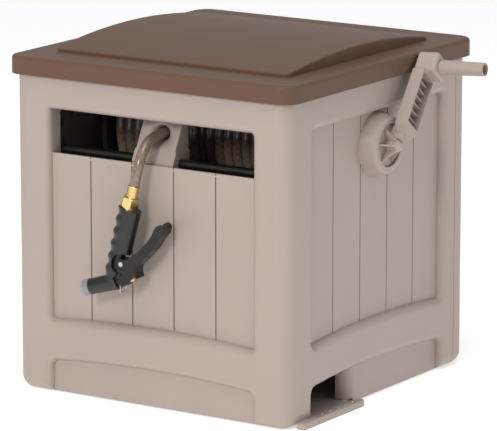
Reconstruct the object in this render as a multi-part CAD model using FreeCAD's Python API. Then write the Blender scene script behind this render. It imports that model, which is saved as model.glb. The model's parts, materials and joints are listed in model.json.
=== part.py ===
import FreeCAD
import Part
import MeshPart
import math
import os
from FreeCAD import Base

# Garden hose reel box: a resin cabinet on a floor plate, with a lid hinged at the back, a crank-wound reel of
# hose, a hose guide that slides along a rod behind the front window, and a pistol nozzle on the hose's end.
# Millimetres. X runs to the crank side, Y to the back, Z up. The origin is the middle of the footprint, on the
# ground. Front is -Y.

V = Base.Vector
X_AXIS = V(1, 0, 0)
Y_AXIS = V(0, 1, 0)
Z_AXIS = V(0, 0, 1)
ORIGIN = V(0, 0, 0)

# Cabinet
width = 590.0              # over the side frames
depth = 618.0              # over the front and back frames
front_y = -depth / 2
corner_round = 28.5        # upright corners
foot_round = 24.0          # under the corner posts
wall = 3.0                 # moulded sheet
panel_top = 616.0          # top edge of the panels, under the lid
recess = 14.5              # from the frame's face back to the planks
edge_round = 14.0          # frame edges towards the planks
field_half_front = 219.0   # half the planked field, front and back
field_half_side = 223.5    # half the planked field, sides
field_top = 526.0
field_foot_mid = 147.5     # the rail under the planks is arched
field_foot_end = 137.5
arch_mid = 70.0            # the arch over the skirt
arch_end = 60.0
field_corner = 6.0
arch_corner = 14.0
plank_count = 5
plank_pitch_front = 89.8
plank_pitch_side = 91.8
groove_width = 2.6
groove_depth = 1.7
seam_setback = 44.6        # the front and back panels wrap round the corners up to this line
foot_flange = 12.0         # bottom flange that the floor plate is bonded to

# Seams between the panels
flange_reach = 22.0
flange_foot = 30.0
flange_head = 596.0
seam_screw_heights = (80.0, 315.0, 560.0)
screw_radius = 2.4
screw_hole = 2.6
screw_head_radius = 5.0
screw_head_height = 3.0
screw_length = 9.0
flange_margin = 11.0       # from the wall to the screws

# Front window
sill_top = 444.5
sill_bead = 4.5
jamb_reach = 24.5

# Way in for the foot, low on the crank side
step_front = -field_half_side
step_back = -66.0
step_roll = 24.0           # the skirt's edge rolls inwards
step_jamb = 24.0
tread_front = front_y + 31.0
tread_reach = 16.0         # beyond the frame's face
tread_thick = 8.0
tread_corner = 14.0
tread_edge_round = 3.0
tread_lip = 6.0
lip_rise = 3.5
tread_bumps = 6
bump_pitch = 27.0
bump_last = -111.0
bump_inset = 18.0          # from the tread's edge
bump_radius = 3.4
bump_height = 1.6

# Floor plate
floor_gap = 0.5
floor_thick = 5.0
floor_rib_width = 4.0
floor_rib_count = 3

# Lid
lid_overhang = 10.5
lid_bottom = 586.0
lid_skirt_height = 33.0
lid_corner = 32.0
lid_edge_round = 7.0
crown_half_x = 250.0
crown_half_y = 240.0
crown_step = 6.0           # at the crown's front and back edges
crown_rise = 25.0          # at the middle
crown_corner = 12.0
lid_crown_round = 3.0
lid_rib_depth = 8.0
lid_rib_places = (-140.0, 0.0, 140.0)
hinge_out = 7.5            # hinge axis behind the back panel's face
hinge_up = 4.0             # hinge axis above the lid's lower edge
hinge_places = (-190.0, 190.0)
knuckle_radius = 7.0
knuckle_length = 30.0
ear_length = 12.0
ear_gap = 0.6
hinge_pin_radius = 3.0
hinge_bore_gap = 0.05
hinge_clearance = 1.0

# Reel
reel_y = 7.0
reel_z = 465.0
drum_half = 200.0          # between the flanges' inner faces, halved
drum_radius = 60.0
drum_wall = 3.5
drum_screw_circle = 52.5
flange_radius = 160.0
flange_sheet = 3.5
flange_rim = 9.0
flange_rib = 3.0
flange_rib_height = 6.0
flange_windows = 8
window_radius = 23.0
window_circle = 108.0
axle_radius = 14.95
axle_bore = 9.0
axle_plate_radius = 45.0
axle_plate = 5.0
axle_screw_circle = 34.0
axle_screws = 4

# Bosses and bearings in the side panels
boss_base = 60.0
boss_face = 52.0
boss_proud = 29.5          # from the planks
boss_round = 5.0
boss_wall = 3.5
cup_radius = 39.5
cup_depth = 11.5
bearing_seat = 20.0
bearing_tube = 4.0
bearing_length = 34.0
bush_gap = 0.05            # radial, on the axle
bush_flange = 24.0
bush_flange_thick = 2.5

# Crank, resting with its arm leaning to the back
crank_lean = 39.7          # from upright, towards the back
crank_tilt = 3.5           # the arm's top leans to the box
crank_out = width / 2 + 48.0   # outer face of the arm where it crosses the axis
hub_radius = 37.5
hub_disc = 6.0
hub_gap = 0.6              # from the cup's floor
crank_clearance = 1.0      # from the boss's rim, as the crank turns
nose_radius = 10.5
nose_reach = 27.0
gusset_count = 5
gusset_thick = 3.0
wedge_width = 20.0
arm_width = 48.0
arm_depth = 23.0
arm_wall = 3.5
arm_start = 14.0
crank_radius = 168.0
block_half = 19.5
block_depth = 42.5
block_corner = 6.0
arm_ribs = 6
crank_spigot = 7.8         # half the square that enters the axle
spigot_reach = 24.0
spigot_gap = 0.1
crank_bolt_radius = 3.9
crank_bolt_head = 6.5
grip_length = 88.0
grip_root_radius = 13.7
grip_end_radius = 12.2
grip_bore = 8.2
grip_pin_radius = 8.1
grip_gap = 0.6
grip_cavity = 22.0         # open hollow at the free end
grip_cavity_radius = 9.8
grip_washer_radius = 9.5
grip_washer = 2.0

# Water way on the side away from the crank
inlet_plate_radius = 36.0
inlet_plate = 4.0
inlet_tube_radius = 8.94
inlet_bore = 6.0
inlet_tube_reach = 58.0
inlet_screw_circle = 30.0
inlet_screws = 4
nipple_radius = 13.2
nipple_length = 16.0
nipple_hex = 30.0          # across flats
nipple_hex_thick = 6.0
o_ring_wire = 1.2
o_ring_places = (40.0, 48.0)
elbow_radius = 11.0
elbow_bore = 7.5
elbow_x = -150.0
barb_radius = 6.8
outlet_radius = 7.0

# Hose guide and its rods
guide_x = -8.0
rod_radius = 9.0
rod_y = front_y + 51.0
rod_z = 445.0
rail_radius = 6.0
rail_y = front_y + 85.0
rail_z = 541.0
slide_gap = 0.1
rod_end_half = field_half_front + 7.5
bracket_x = field_half_front + 3.5
bracket_thick = 8.0
bracket_seat = 4.0
bracket_foot = 22.0
bracket_foot_thick = 4.0
pillar_radius = 5.0
pillar_end = front_y + 12.0
pilot_depth = 7.0
guide_width = 84.0
guide_foot_width = 89.0
guide_foot_top = 468.0
guide_bottom = 431.0
guide_top = 554.0
guide_front_low = front_y + 24.1
guide_slope = 26.4         # the face leans back from upright
guide_slope_from = 446.0
guide_back = front_y + 78.0
guide_wall = 3.0
rail_carrier_back = front_y + 97.0
rail_sleeve = 9.8
mouth_z = 493.0
mouth_half_width = 35.0
mouth_half_height = 27.0
mouth_lip = 2.5
throat_radius = 12.5
throat_rise = 3.0
throat_back = front_y + 95.0
throat_mid = front_y + 73.0
throat_fall = 5.0          # degrees below level

# Hose
hose_radius = 9.5
wind_radius = 135.0        # centre line of the outer layer
wind_pitch = 20.0
wind_turns = 9
core_gap = 0.25
end_gap = 0.3
climb_radius = 95.0
climb_angle = 80.0
lead_from = 32.1           # degrees from the reel's top, towards the front
lead_run = 80.0
# Down to the guide's throat; then over its mouth. Each is x, the depth behind the cabinet's front, and z.
lead_points = ((-8.0, 113.0, 500.5), (-8.0, 66.7, 495.8))
hang_points = ((-8.0, 66.4, 495.8), (-8.0, 20.0, 491.6), (-5.5, -8.0, 472.0))
hang_last_run = 31.0       # straight into the nozzle's ferrule

# Nozzle, drawn in its own plane and turned about the upright
nozzle_turn = 5.0          # degrees
inlet_lean = 13.5          # the inlet leans from the upright
coupling = V(-20.9, front_y - 23.7, 382.8)
ferrule_radius = 10.9
ferrule_length = 22.0
ferrule_rings = 5
ferrule_groove = 0.8
hex_across = 29.0
hex_length = 18.0
collar_radius = 12.8
collar_length = 4.0
grip_to = 150.0            # along the inlet from the hex's middle
grip_depth = 17.0          # half, across the nozzle's plane
grip_front = 16.8
grip_rear_top = 23.4
grip_rear_foot = 20.4
finger_bump = 4.2
finger_pitch = 23.6
finger_first = 34.8
grip_sections = 28
barrel_angle = 16.5        # below level
barrel_from = V(-23.0, 0, -145.1)
barrel_cover_from = 3.0
barrel_cover_to = 61.5
barrel_radius = 15.8
barrel_tip_radius = 14.4
core_radius = 12.0
core_rear = 8.0
core_front = 66.0
inlet_core_radius = 11.0
water_bore = 7.0
seat_at = 57.0
seat_bore = 4.5
tip_from = 62.0
tip_to = 76.0
tip_radius = 14.9
tip_bore = 8.5
pivot = V(-13.0, 0, -112.2)
pivot_scoop = 19.0
pin_radius = 2.5
pin_gap = 0.05
body_half = 11.5           # of the metal behind the grip
cheek_inner = 11.9
cheek_outer = 14.5
fork_at = -19.0
fork_pin = 2.4
fork_half = 3.6
packing_radius = 9.0
packing_to = -15.5
stem_radius = 3.0
stem_rear = -36.0
valve_radius = 6.0
valve_length = 6.0
nut_radius = 8.4
nut_length = 11.0
nut_chamfer = 0.8
nut_flutes = 8
spring_radius = 5.2
spring_wire = 1.0
clip_pivot = V(-17.0, 0, -152.5)
clip_reach = 12.2
clip_half = 9.8
clip_wire = 1.0


def rounded_block(half_x, half_y, radius, low, high):
    """Upright block with rounded corners, from its lower to its upper level."""
    block = Part.makeBox(2 * half_x, 2 * half_y, high - low, V(-half_x, -half_y, low))
    upright = [e for e in block.Edges if abs(e.Vertexes[0].Z - e.Vertexes[1].Z) > 1.0]
    return block.makeFillet(radius, upright)


def box_between(x0, x1, y0, y1, z0, z1):
    """Box from its limits along the three axes."""
    return Part.makeBox(x1 - x0, y1 - y0, z1 - z0, V(x0, y0, z0))


def turned(shape, degrees, axis=Z_AXIS, about=ORIGIN):
    """Copy of a shape, turned about an axis."""
    copy = shape.copy()
    copy.rotate(about, axis, degrees)
    return copy


def mirrored(shape):
    """Copy of a shape on the other side of the middle plane."""
    return shape.mirror(ORIGIN, X_AXIS)


def prism(points, reach):
    """Straight solid from a closed outline and the vector that it is drawn along."""
    return Part.Face(Part.makePolygon(points + [points[0]])).extrude(reach)


def prism_of_edges(edges, reach):
    """Straight solid from a closed outline of lines and arcs."""
    return Part.Face(Part.Wire(edges)).extrude(reach)


def line(a, b):
    """Straight edge."""
    return Part.LineSegment(a, b).toShape()


def arc(a, b, c):
    """Circular edge through three points."""
    return Part.Arc(a, b, c).toShape()


def rod(radius, start, end):
    """Round bar between two points."""
    way = end - start
    return Part.makeCylinder(radius, way.Length, start, way)


def ring(outer, inner, start, end):
    """Round tube between two points."""
    return rod(outer, start, end).cut(rod(inner, start, end))


def along_reel(x, radius=0.0, degrees=0.0):
    """Point beside the reel's axis: x along it, then a radius and an angle from upright towards the front."""
    a = math.radians(degrees)
    return V(x, reel_y - radius * math.sin(a), reel_z + radius * math.cos(a))


def revolved_on_reel(profile):
    """Solid turned about the reel's axis from (x, radius) points."""
    face = Part.Face(Part.makePolygon([along_reel(x, r) for x, r in profile + [profile[0]]]))
    return face.revolve(along_reel(0), X_AXIS, 360)


def round_pattern(shape, count, centre, axis):
    """Equal copies of a shape round an axis."""
    return [turned(shape, 360.0 * k / count, axis, centre) for k in range(count)]


def rounded_route(points):
    """Wire along straight runs and the largest arcs that they leave room for, and its arc radii."""
    edges, radii = [], []
    start = points[0]
    for before, corner, after in zip(points, points[1:], points[2:]):
        towards = (corner - before).normalize()
        away = (after - corner).normalize()
        turn = towards.getAngle(away)
        shorter = min((corner - before).Length, (after - corner).Length)
        setback = 0.45 * shorter
        radius = setback / math.tan(turn / 2)
        enter = corner - towards * setback
        leave = corner + away * setback
        centre = corner + (away - towards).normalize() * (radius / math.cos(turn / 2))
        middle = centre + (corner - centre).normalize() * radius
        edges += [line(start, enter), arc(enter, middle, leave)]
        start = leave
        radii.append(radius)
    edges.append(line(start, points[-1]))
    return Part.Wire(edges), radii


def tube_on(wire, radius):
    """Round solid along a wire."""
    first = wire.Edges[0]
    start = first.valueAt(first.FirstParameter)
    heading = first.tangentAt(first.FirstParameter)
    section = Part.Wire(Part.makeCircle(radius, start, heading))
    return wire.makePipeShell([section], True, False)


def hose_on(points, name):
    """Hose along a route, with its bend radii and its volume printed."""
    wire, radii = rounded_route(points)
    hose = tube_on(wire, hose_radius)
    plain = math.pi * hose_radius ** 2 * wire.Length
    print(name, "length", round(wire.Length, 1), "bends", [round(r, 1) for r in radii],
          "volume against section times length", round(hose.Volume / plain, 4))
    return hose


# Places that several pieces share
hinge_y = depth / 2 + hinge_out
hinge_z = lid_bottom + hinge_up
half_w = width / 2
half_d = depth / 2
plank_x = half_w - recess          # outer plane of the side planks
plank_y = half_d - recess
seam_y = half_d - seam_setback
below = -60.0                      # blanks run down to here before they are trimmed
boss_top = plank_x + boss_proud
cup_floor = boss_top - cup_depth
tube_end = cup_floor - bearing_length
floor_top = wall + floor_thick
FRONT, RIGHT, BACK, LEFT = 0, 90, 180, 270
FACES = (
    (FRONT, half_d, field_half_front, plank_pitch_front),
    (RIGHT, half_w, field_half_side, plank_pitch_side),
    (BACK, half_d, field_half_front, plank_pitch_front),
    (LEFT, half_w, field_half_side, plank_pitch_side),
)


def depthwise_edges(solid, lowest):
    """Edges that run along Y above a level: the corners of a pocket."""
    picked = []
    for edge in solid.Edges:
        a, b = edge.Vertexes[0].Point, edge.Vertexes[-1].Point
        if abs(a.y - b.y) > 1 and abs(a.x - b.x) < 0.01 and abs(a.z - b.z) < 0.01 and a.z > lowest:
            picked.append(edge)
    return picked


def field_pocket(distance, half, inset):
    """Hollow of the planked field in the front face, its lower edge an arch."""
    y = -distance - 1.0
    h = half + inset
    a, b = V(-h, y, field_foot_end - inset), V(h, y, field_foot_end - inset)
    c, d = V(h, y, field_top + inset), V(-h, y, field_top + inset)
    crest = V(0, y, field_foot_mid - inset)
    edges = [arc(a, crest, b), line(b, c), line(c, d), line(d, a)]
    blank = prism_of_edges(edges, V(0, 1.0 + recess + inset, 0))
    return blank.makeFillet(field_corner + inset, depthwise_edges(blank, below))


def skirt_pocket(distance, half, inset):
    """Hollow of the skirt under the arched rail, open at the ground."""
    y = -distance - 1.0
    h = half + inset
    a, d = V(-h, y, below - 1.0), V(h, y, below - 1.0)
    b, c = V(-h, y, arch_end + inset), V(h, y, arch_end + inset)
    crest = V(0, y, arch_mid + inset)
    edges = [line(a, b), arc(b, crest, c), line(c, d), line(d, a)]
    blank = prism_of_edges(edges, V(0, 1.0 + recess + inset, 0))
    return blank.makeFillet(arch_corner + inset, depthwise_edges(blank, 0))


def rim_edges(block, degrees, distance, half):
    """Edges of one face's pockets in the plane of its frame."""
    normal = turned(Part.Vertex(V(0, -1, 0)), degrees).Point
    across = turned(Part.Vertex(X_AXIS), degrees).Point
    picked = []
    for edge in block.Edges:
        ends = [v.Point for v in edge.Vertexes]
        in_plane = all(abs(p.dot(normal) - distance) < 0.01 for p in ends)
        in_frame = all(abs(p.dot(across)) < half + 0.1 and p.z < field_top + wall + 1.0 for p in ends)
        at_foot = all(p.z < below + 0.1 for p in ends)
        if in_plane and in_frame and not at_foot:
            picked.append(edge)
    return picked


def relief_block(inset):
    """The cabinet as a solid, drawn in by the inset from its outer surface."""
    top = panel_top + inset
    block = rounded_block(half_w - inset, half_d - inset, corner_round - inset, below, top)
    pockets = []
    for degrees, distance, half, pitch in FACES:
        pockets.append(turned(field_pocket(distance, half, inset), degrees))
        pockets.append(turned(skirt_pocket(distance, half, inset), degrees))
    block = block.cut(pockets)
    rims = []
    for degrees, distance, half, pitch in FACES:
        rims += rim_edges(block, degrees, distance - inset, half + inset)
    block = block.makeFillet(edge_round - inset, rims)
    envelope = rounded_block(half_w - inset, half_d - inset, corner_round - inset, inset, top)
    foot = [e for e in envelope.Edges if all(abs(v.Z - inset) < 0.01 for v in e.Vertexes)]
    return block.common(envelope.makeFillet(foot_round - inset, foot))


def cabinet_shell():
    """Walls all round, with a flange along the ground for the floor plate."""
    shell = relief_block(0).cut(relief_block(wall))
    open_x = plank_x - wall - foot_flange
    open_y = plank_y - wall - foot_flange
    return shell.cut(box_between(-open_x, open_x, -open_y, open_y, -1, wall + 1))


def plank_grooves(degrees, distance, pitch):
    """V grooves between the planks of one face."""
    face = distance - recess
    grooves = []
    for k in range(plank_count - 1):
        x = (k - (plank_count - 2) / 2) * pitch
        span = field_half_front
        foot = field_foot_mid - (field_foot_mid - field_foot_end) * (x / span) ** 2 + 0.2
        outline = [V(x - groove_width / 2, -face, foot), V(x + groove_width / 2, -face, foot),
                   V(x, -face + groove_depth, foot)]
        grooves.append(turned(prism(outline, V(0, 0, field_top - foot)), degrees))
    return grooves


def seam_flange(side_x, y0, y1):
    """Inward flange along a seam, with its screw holes."""
    outer = half_w - wall / 2
    inner = half_w - wall - flange_reach
    plate = box_between(side_x * inner, side_x * outer, y0, y1, flange_foot, flange_head) \
        if side_x > 0 else box_between(-outer, -inner, y0, y1, flange_foot, flange_head)
    x = side_x * (half_w - wall - flange_margin)
    holes = [rod(screw_hole, V(x, y0 - 1, z), V(x, y1 + 1, z)) for z in seam_screw_heights]
    return plate.cut(holes)


def screw(at, heading):
    """Pan-head screw: its head sits on the point, its shank runs along the heading."""
    way = V(heading).normalize()
    head = Part.makeCone(screw_head_radius - 1.2, screw_head_radius, screw_head_height, at - way * screw_head_height, way)
    return head.fuse(rod(screw_radius, at, at + way * screw_length)).removeSplitter()


def make_front_panel(shell):
    """Front: frame, planks, window for the hose guide, and pillars for the rods' brackets."""
    panel = shell.common(box_between(-width, width, -depth, -seam_y, -1, panel_top))
    panel = panel.cut(plank_grooves(FRONT, half_d, plank_pitch_front))
    h = field_half_front
    panel = panel.cut(box_between(-h, h, -half_d - 1, -plank_y + 2 * wall, sill_top, field_top))
    bead = rod(sill_bead, V(-h - 1, -plank_y + sill_bead, sill_top - sill_bead),
               V(h + 1, -plank_y + sill_bead, sill_top - sill_bead))
    jambs = [box_between(h, h + wall, -plank_y, -plank_y + jamb_reach, sill_top - 10, field_top + wall / 2),
             box_between(-h - wall, -h, -plank_y, -plank_y + jamb_reach, sill_top - 10, field_top + wall / 2)]
    flanges = [seam_flange(side, -seam_y - wall, -seam_y) for side in (-1, 1)]
    pillars, pilots = [], []
    for x, z in bracket_screw_places():
        pillars.append(rod(pillar_radius, V(x, -half_d + wall / 2, z), V(x, pillar_end, z)))
        pilots.append(rod(screw_hole, V(x, pillar_end - pilot_depth, z), V(x, pillar_end + 1, z)))
    return panel.fuse([bead] + jambs + flanges + pillars).cut(pilots).removeSplitter()


def make_back_panel(shell):
    """Back: frame, planks and the box's halves of the hinges."""
    panel = shell.common(box_between(-width, width, seam_y, depth, -1, panel_top))
    panel = panel.cut(plank_grooves(BACK, half_d, plank_pitch_front))
    flanges = [seam_flange(side, seam_y, seam_y + wall) for side in (-1, 1)]
    ears, bores = [], []
    for place in hinge_places:
        for side in (-1, 1):
            near = place + side * (knuckle_length / 2 + ear_gap)
            far = near + side * ear_length
            x0, x1 = min(near, far), max(near, far)
            ears.append(rod(knuckle_radius, V(x0, hinge_y, hinge_z), V(x1, hinge_y, hinge_z)))
            foot = [V(x0, half_d - wall / 2, hinge_z), V(x0, hinge_y, hinge_z),
                    V(x0, hinge_y, hinge_z - knuckle_radius),
                    V(x0, half_d - wall / 2, hinge_z - 2.5 * knuckle_radius)]
            ears.append(prism(foot, V(x1 - x0, 0, 0)))
        bores.append(rod(hinge_pin_radius + hinge_bore_gap, V(place - knuckle_length, hinge_y, hinge_z),
                         V(place + knuckle_length, hinge_y, hinge_z)))
    return panel.fuse(flanges + ears).cut(bores).removeSplitter()


def side_boss():
    """Round boss on the planks with a cup for the crank's hub and a tube for the bearing."""
    inner_top = boss_top - boss_wall
    sheet = plank_x - wall / 2
    profile = [
        (sheet, boss_base), (plank_x, boss_base),
        (boss_top - boss_round, boss_face + 0.9), (boss_top - 1.4, boss_face - 1.2), (boss_top, boss_face - boss_round),
        (boss_top, cup_radius), (cup_floor, cup_radius), (cup_floor, bearing_seat),
        (tube_end, bearing_seat), (tube_end, bearing_seat + bearing_tube),
        (cup_floor - boss_wall, bearing_seat + bearing_tube), (cup_floor - boss_wall, cup_radius + wall),
        (inner_top, cup_radius + wall), (inner_top, boss_face - boss_round - 0.5),
        (boss_top - boss_round, boss_face + 0.9 - wall), (plank_x - wall, boss_base - wall),
        (plank_x - wall, boss_base), (sheet, boss_base),
    ]
    return revolved_on_reel(profile[:-1])


def side_panel(shell, degrees, side):
    """Side without its boss: frame, planks, a hole for the boss and the seams' flanges."""
    panel = shell.common(box_between(min(0, side * width), max(0, side * width), -seam_y, seam_y, -1, panel_top))
    panel = panel.cut(plank_grooves(degrees, half_w, plank_pitch_side))
    panel = panel.cut(rod(boss_base - wall / 2, along_reel(side * (plank_x - 2 * wall)), along_reel(side * width)))
    return panel.fuse([seam_flange(side, -seam_y, -seam_y + wall), seam_flange(side, seam_y - wall, seam_y)])


def make_left_panel(shell):
    """Side away from the crank; its boss also carries the inlet plate's screws."""
    panel = side_panel(shell, LEFT, -1).fuse(mirrored(side_boss()))
    pilots = [rod(screw_hole, along_reel(-cup_floor - 1, inlet_screw_circle, a),
                  along_reel(-cup_floor + 2 * boss_wall, inlet_screw_circle, a)) for a in inlet_screw_angles()]
    return panel.cut(pilots).removeSplitter()


def make_right_panel(shell):
    """Crank side: the skirt is open at the front for the foot, and its edge rolls inwards."""
    panel = side_panel(shell, RIGHT, 1).fuse(side_boss())
    inner = plank_x - step_jamb - wall
    mouth = box_between(inner, half_w + 1, step_front, step_back, -1, arch_mid + wall)
    outline = turned(skirt_pocket(half_w, field_half_side, 0), RIGHT)
    outline = outline.fuse([outline.translated(V(-k * recess, 0, 0)) for k in (1, 2)])
    mouth = mouth.common(outline)
    panel = panel.cut(mouth)
    centre_x, centre_y = plank_x - step_roll, step_back
    roll = rod(step_roll, V(centre_x, centre_y, floor_top + floor_gap), V(centre_x, centre_y, arch_mid)) \
        .cut(rod(step_roll - wall, V(centre_x, centre_y, 0), V(centre_x, centre_y, arch_mid + 1)))
    quarter = box_between(centre_x, half_w, centre_y - step_roll, centre_y, 0, arch_mid + wall)
    roll = roll.common(quarter).common(outline)
    return panel.fuse(roll).removeSplitter()


def make_floor_plate():
    """Floor on the panels' flanges, ribbed below, with the tread that reaches out at the crank side."""
    fx, fy = half_w - foot_round - floor_gap, half_d - foot_round - floor_gap
    plate = rounded_block(fx, fy, tread_edge_round, wall, floor_top)
    rib_x = plank_x - wall - foot_flange - 1.0
    rib_y = plank_y - wall - foot_flange - 1.0
    ribs = [
        box_between(-rib_x, rib_x, -rib_y, -rib_y + floor_rib_width, 0, wall),
        box_between(-rib_x, rib_x, rib_y - floor_rib_width, rib_y, 0, wall),
        box_between(-rib_x, -rib_x + floor_rib_width, -rib_y, rib_y, 0, wall),
        box_between(rib_x - floor_rib_width, rib_x, -rib_y, rib_y, 0, wall),
    ]
    for k in range(floor_rib_count):
        share = (k + 1) / (floor_rib_count + 1) * 2 - 1
        x, y = share * rib_x, share * rib_y
        ribs.append(box_between(x - floor_rib_width / 2, x + floor_rib_width / 2, -rib_y, rib_y, 0, wall))
        ribs.append(box_between(-rib_x, rib_x, y - floor_rib_width / 2, y + floor_rib_width / 2, 0, wall))
    bridge = box_between(fx - 5, half_w + 2, step_front + 1, step_back - step_roll - 1, 0, floor_top)
    bridge = bridge.cut(box_between(fx - 6, half_w - 1, step_front + 4, step_back - step_roll - 4, -1, wall))
    edge_x = half_w + tread_reach
    tread = box_between(half_w + 1, edge_x, tread_front, step_back - 2, 0, floor_top + lip_rise)
    outer_back = [e for e in tread.Edges if all(abs(v.X - edge_x) < 0.01 for v in e.Vertexes)
                  and all(abs(v.Y - step_back + 2) < 0.01 for v in e.Vertexes)]
    tread = tread.makeFillet(tread_corner, outer_back)
    rims = [e for e in tread.Edges if all(abs(v.Z - floor_top - lip_rise) < 0.01 for v in e.Vertexes)
            and any(v.X > half_w + 2 for v in e.Vertexes)]
    tread = tread.makeFillet(tread_edge_round, rims)
    dish = box_between(half_w, edge_x - tread_lip, step_front + 1, step_back - step_roll - 1,
                       floor_top, floor_top + lip_rise + 1)
    tread = tread.cut([dish, box_between(half_w + wall, edge_x - wall, tread_front + wall,
                                         step_back - 2 - tread_corner, -1, wall)])
    bumps = []
    for k in range(tread_bumps):
        y = bump_last - k * bump_pitch
        if y > step_front + 2 * bump_radius:
            bumps.append(Part.makeSphere(bump_radius * 1.2, V(edge_x - bump_inset, y, floor_top - bump_radius * 0.6)))
    return plate.fuse(ribs + [bridge, tread] + bumps).removeSplitter()


def bracket_screw_places():
    """Two screws to each bracket of the guide's rods."""
    x = bracket_x + bracket_thick + bracket_foot - screw_head_radius - 2
    return [(side * x, z) for side in (-1, 1) for z in (rod_z + 10, rail_z - 14)]


def inlet_screw_angles():
    """Four screws round the inlet, turned clear of the horizontal."""
    return [45 + 90 * k for k in range(inlet_screws)]


def make_lid():
    """Lid: a skirt over the box, a flat rim, a vaulted crown with ribs inside, and its halves of the hinges."""
    rim_z = lid_bottom + lid_skirt_height
    hx, hy = half_w + lid_overhang, half_d + lid_overhang
    outer = rounded_block(hx, hy, lid_corner, lid_bottom, rim_z)
    top = [e for e in outer.Edges if all(abs(v.Z - rim_z) < 0.01 for v in e.Vertexes)]
    outer = outer.makeFillet(lid_edge_round, top)
    inner = rounded_block(hx - wall, hy - wall, lid_corner - wall, lid_bottom - 1, panel_top)
    top = [e for e in inner.Edges if all(abs(v.Z - panel_top) < 0.01 for v in e.Vertexes)]
    inner = inner.makeFillet(lid_edge_round - wall, top)
    lid = outer.fuse(crown(0)).cut(inner).cut(crown(wall))
    ribs = [crown(wall).cut(vault(wall + lid_rib_depth)).common(box_between(x - wall / 2, x + wall / 2, -depth, depth,
                                                                          0, 2 * panel_top)) for x in lid_rib_places]
    lid = lid.fuse([r.common(outer.fuse(crown(0))) for r in ribs])
    notches, knuckles, bores = [], [], []
    for place in hinge_places:
        half = knuckle_length / 2 + ear_gap + ear_length + hinge_clearance
        notches.append(box_between(place - half, place + half, half_d + 2, hy + 1, lid_bottom - 1,
                                   hinge_z + knuckle_radius + hinge_clearance))
        knuckle = rod(knuckle_radius, V(place - knuckle_length / 2, hinge_y, hinge_z),
                      V(place + knuckle_length / 2, hinge_y, hinge_z))
        web = box_between(place - knuckle_length / 2, place + knuckle_length / 2, hy - 2 * wall, hy,
                          hinge_z, hinge_z + knuckle_radius + 2 * hinge_clearance)
        knuckles += [knuckle, web]
        bores.append(rod(hinge_pin_radius + hinge_bore_gap, V(place - knuckle_length, hinge_y, hinge_z),
                         V(place + knuckle_length, hinge_y, hinge_z)))
    return lid.cut(notches).fuse(knuckles).cut(bores).removeSplitter()


def vault(inset):
    """Long cylinder whose top is the crown's curve."""
    rise = crown_rise - crown_step
    radius = (crown_half_y ** 2 + rise ** 2) / (2 * rise)
    top = lid_bottom + lid_skirt_height + crown_rise
    centre = V(-width, 0, top - radius)
    return rod(radius - inset, centre, centre + V(2 * width, 0, 0))


def crown(inset):
    """Vaulted part of the lid, drawn in by the inset."""
    top = lid_bottom + lid_skirt_height + crown_rise + 1
    block = rounded_block(crown_half_x - inset, crown_half_y - inset, crown_corner - inset, panel_top - inset, top)
    block = block.common(vault(inset))
    if inset:
        return block
    rims = [e for e in block.Edges if all(v.Z > panel_top + 2 for v in e.Vertexes)]
    return block.makeFillet(lid_crown_round, rims)


def make_hinge_pins():
    """A headed pin through each hinge."""
    half = knuckle_length / 2 + ear_gap + ear_length
    pins = []
    for place in hinge_places:
        pin = rod(hinge_pin_radius, V(place - half, hinge_y, hinge_z), V(place + half, hinge_y, hinge_z))
        heads = [rod(hinge_pin_radius + 1.6, V(place + s * half, hinge_y, hinge_z),
                     V(place + s * (half + 0.9), hinge_y, hinge_z)) for s in (-1, 1)]
        pins.append(pin.fuse(heads).removeSplitter())
    return Part.makeCompound(pins)


def make_rod_bracket(side):
    """Bracket behind a jamb that holds the ends of both rods of the guide."""
    near, far = bracket_x, bracket_x + bracket_thick
    outline = [V(near, pillar_end, rod_z - 16), V(near, rod_y + rod_radius + 4, rod_z - 16),
               V(near, rod_y + rod_radius + 4, rod_z + 12), V(near, rail_y + rail_radius + 5, rail_z - 10),
               V(near, rail_y + rail_radius + 5, rail_z + 12), V(near, pillar_end, rail_z + 12)]
    plate = prism(outline, V(bracket_thick, 0, 0))
    foot = box_between(near, far + bracket_foot, pillar_end, pillar_end + bracket_foot_thick,
                       rod_z - 4, rail_z + 2)
    bracket = plate.fuse(foot)
    seats = [rod(rod_radius, V(near - 1, rod_y, rod_z), V(near + bracket_seat, rod_y, rod_z)),
             rod(rail_radius, V(near - 1, rail_y, rail_z), V(near + bracket_seat, rail_y, rail_z))]
    window_yz = V(near - 1, (pillar_end + rod_y) / 2 + 10, (rod_z + rail_z) / 2 + 8)
    seats.append(rod(15.0, window_yz, window_yz + V(2 * bracket_thick, 0, 0)))
    for x, z in bracket_screw_places():
        if x > 0:
            seats.append(rod(screw_hole, V(x, pillar_end - 1, z), V(x, pillar_end + 2 * bracket_foot_thick, z)))
    bracket = bracket.cut(seats).removeSplitter()
    return bracket if side > 0 else mirrored(bracket)


def make_bracket_screws():
    """Screws through the brackets' feet into the front panel's pillars."""
    y = pillar_end + bracket_foot_thick
    return Part.makeCompound([screw(V(x, y, z), V(0, -1, 0)) for x, z in bracket_screw_places()])


def make_panel_screws():
    """Screws through the seams' flanges."""
    screws = []
    x = half_w - wall - flange_margin
    for side in (-1, 1):
        for z in seam_screw_heights:
            screws.append(screw(V(side * x, -seam_y + wall, z), V(0, -1, 0)))
            screws.append(screw(V(side * x, seam_y - wall, z), V(0, 1, 0)))
    return Part.makeCompound(screws)


def make_bearing(side):
    """Flanged bush that turns the axle in the boss's tube."""
    inner = bearing_seat - 0.02
    bush = ring(inner, axle_radius + bush_gap, along_reel(tube_end), along_reel(cup_floor - 0.5))
    collar = ring(bush_flange, axle_radius + bush_gap, along_reel(tube_end - bush_flange_thick), along_reel(tube_end))
    bush = bush.fuse(collar).removeSplitter()
    return bush if side > 0 else mirrored(bush)


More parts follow.
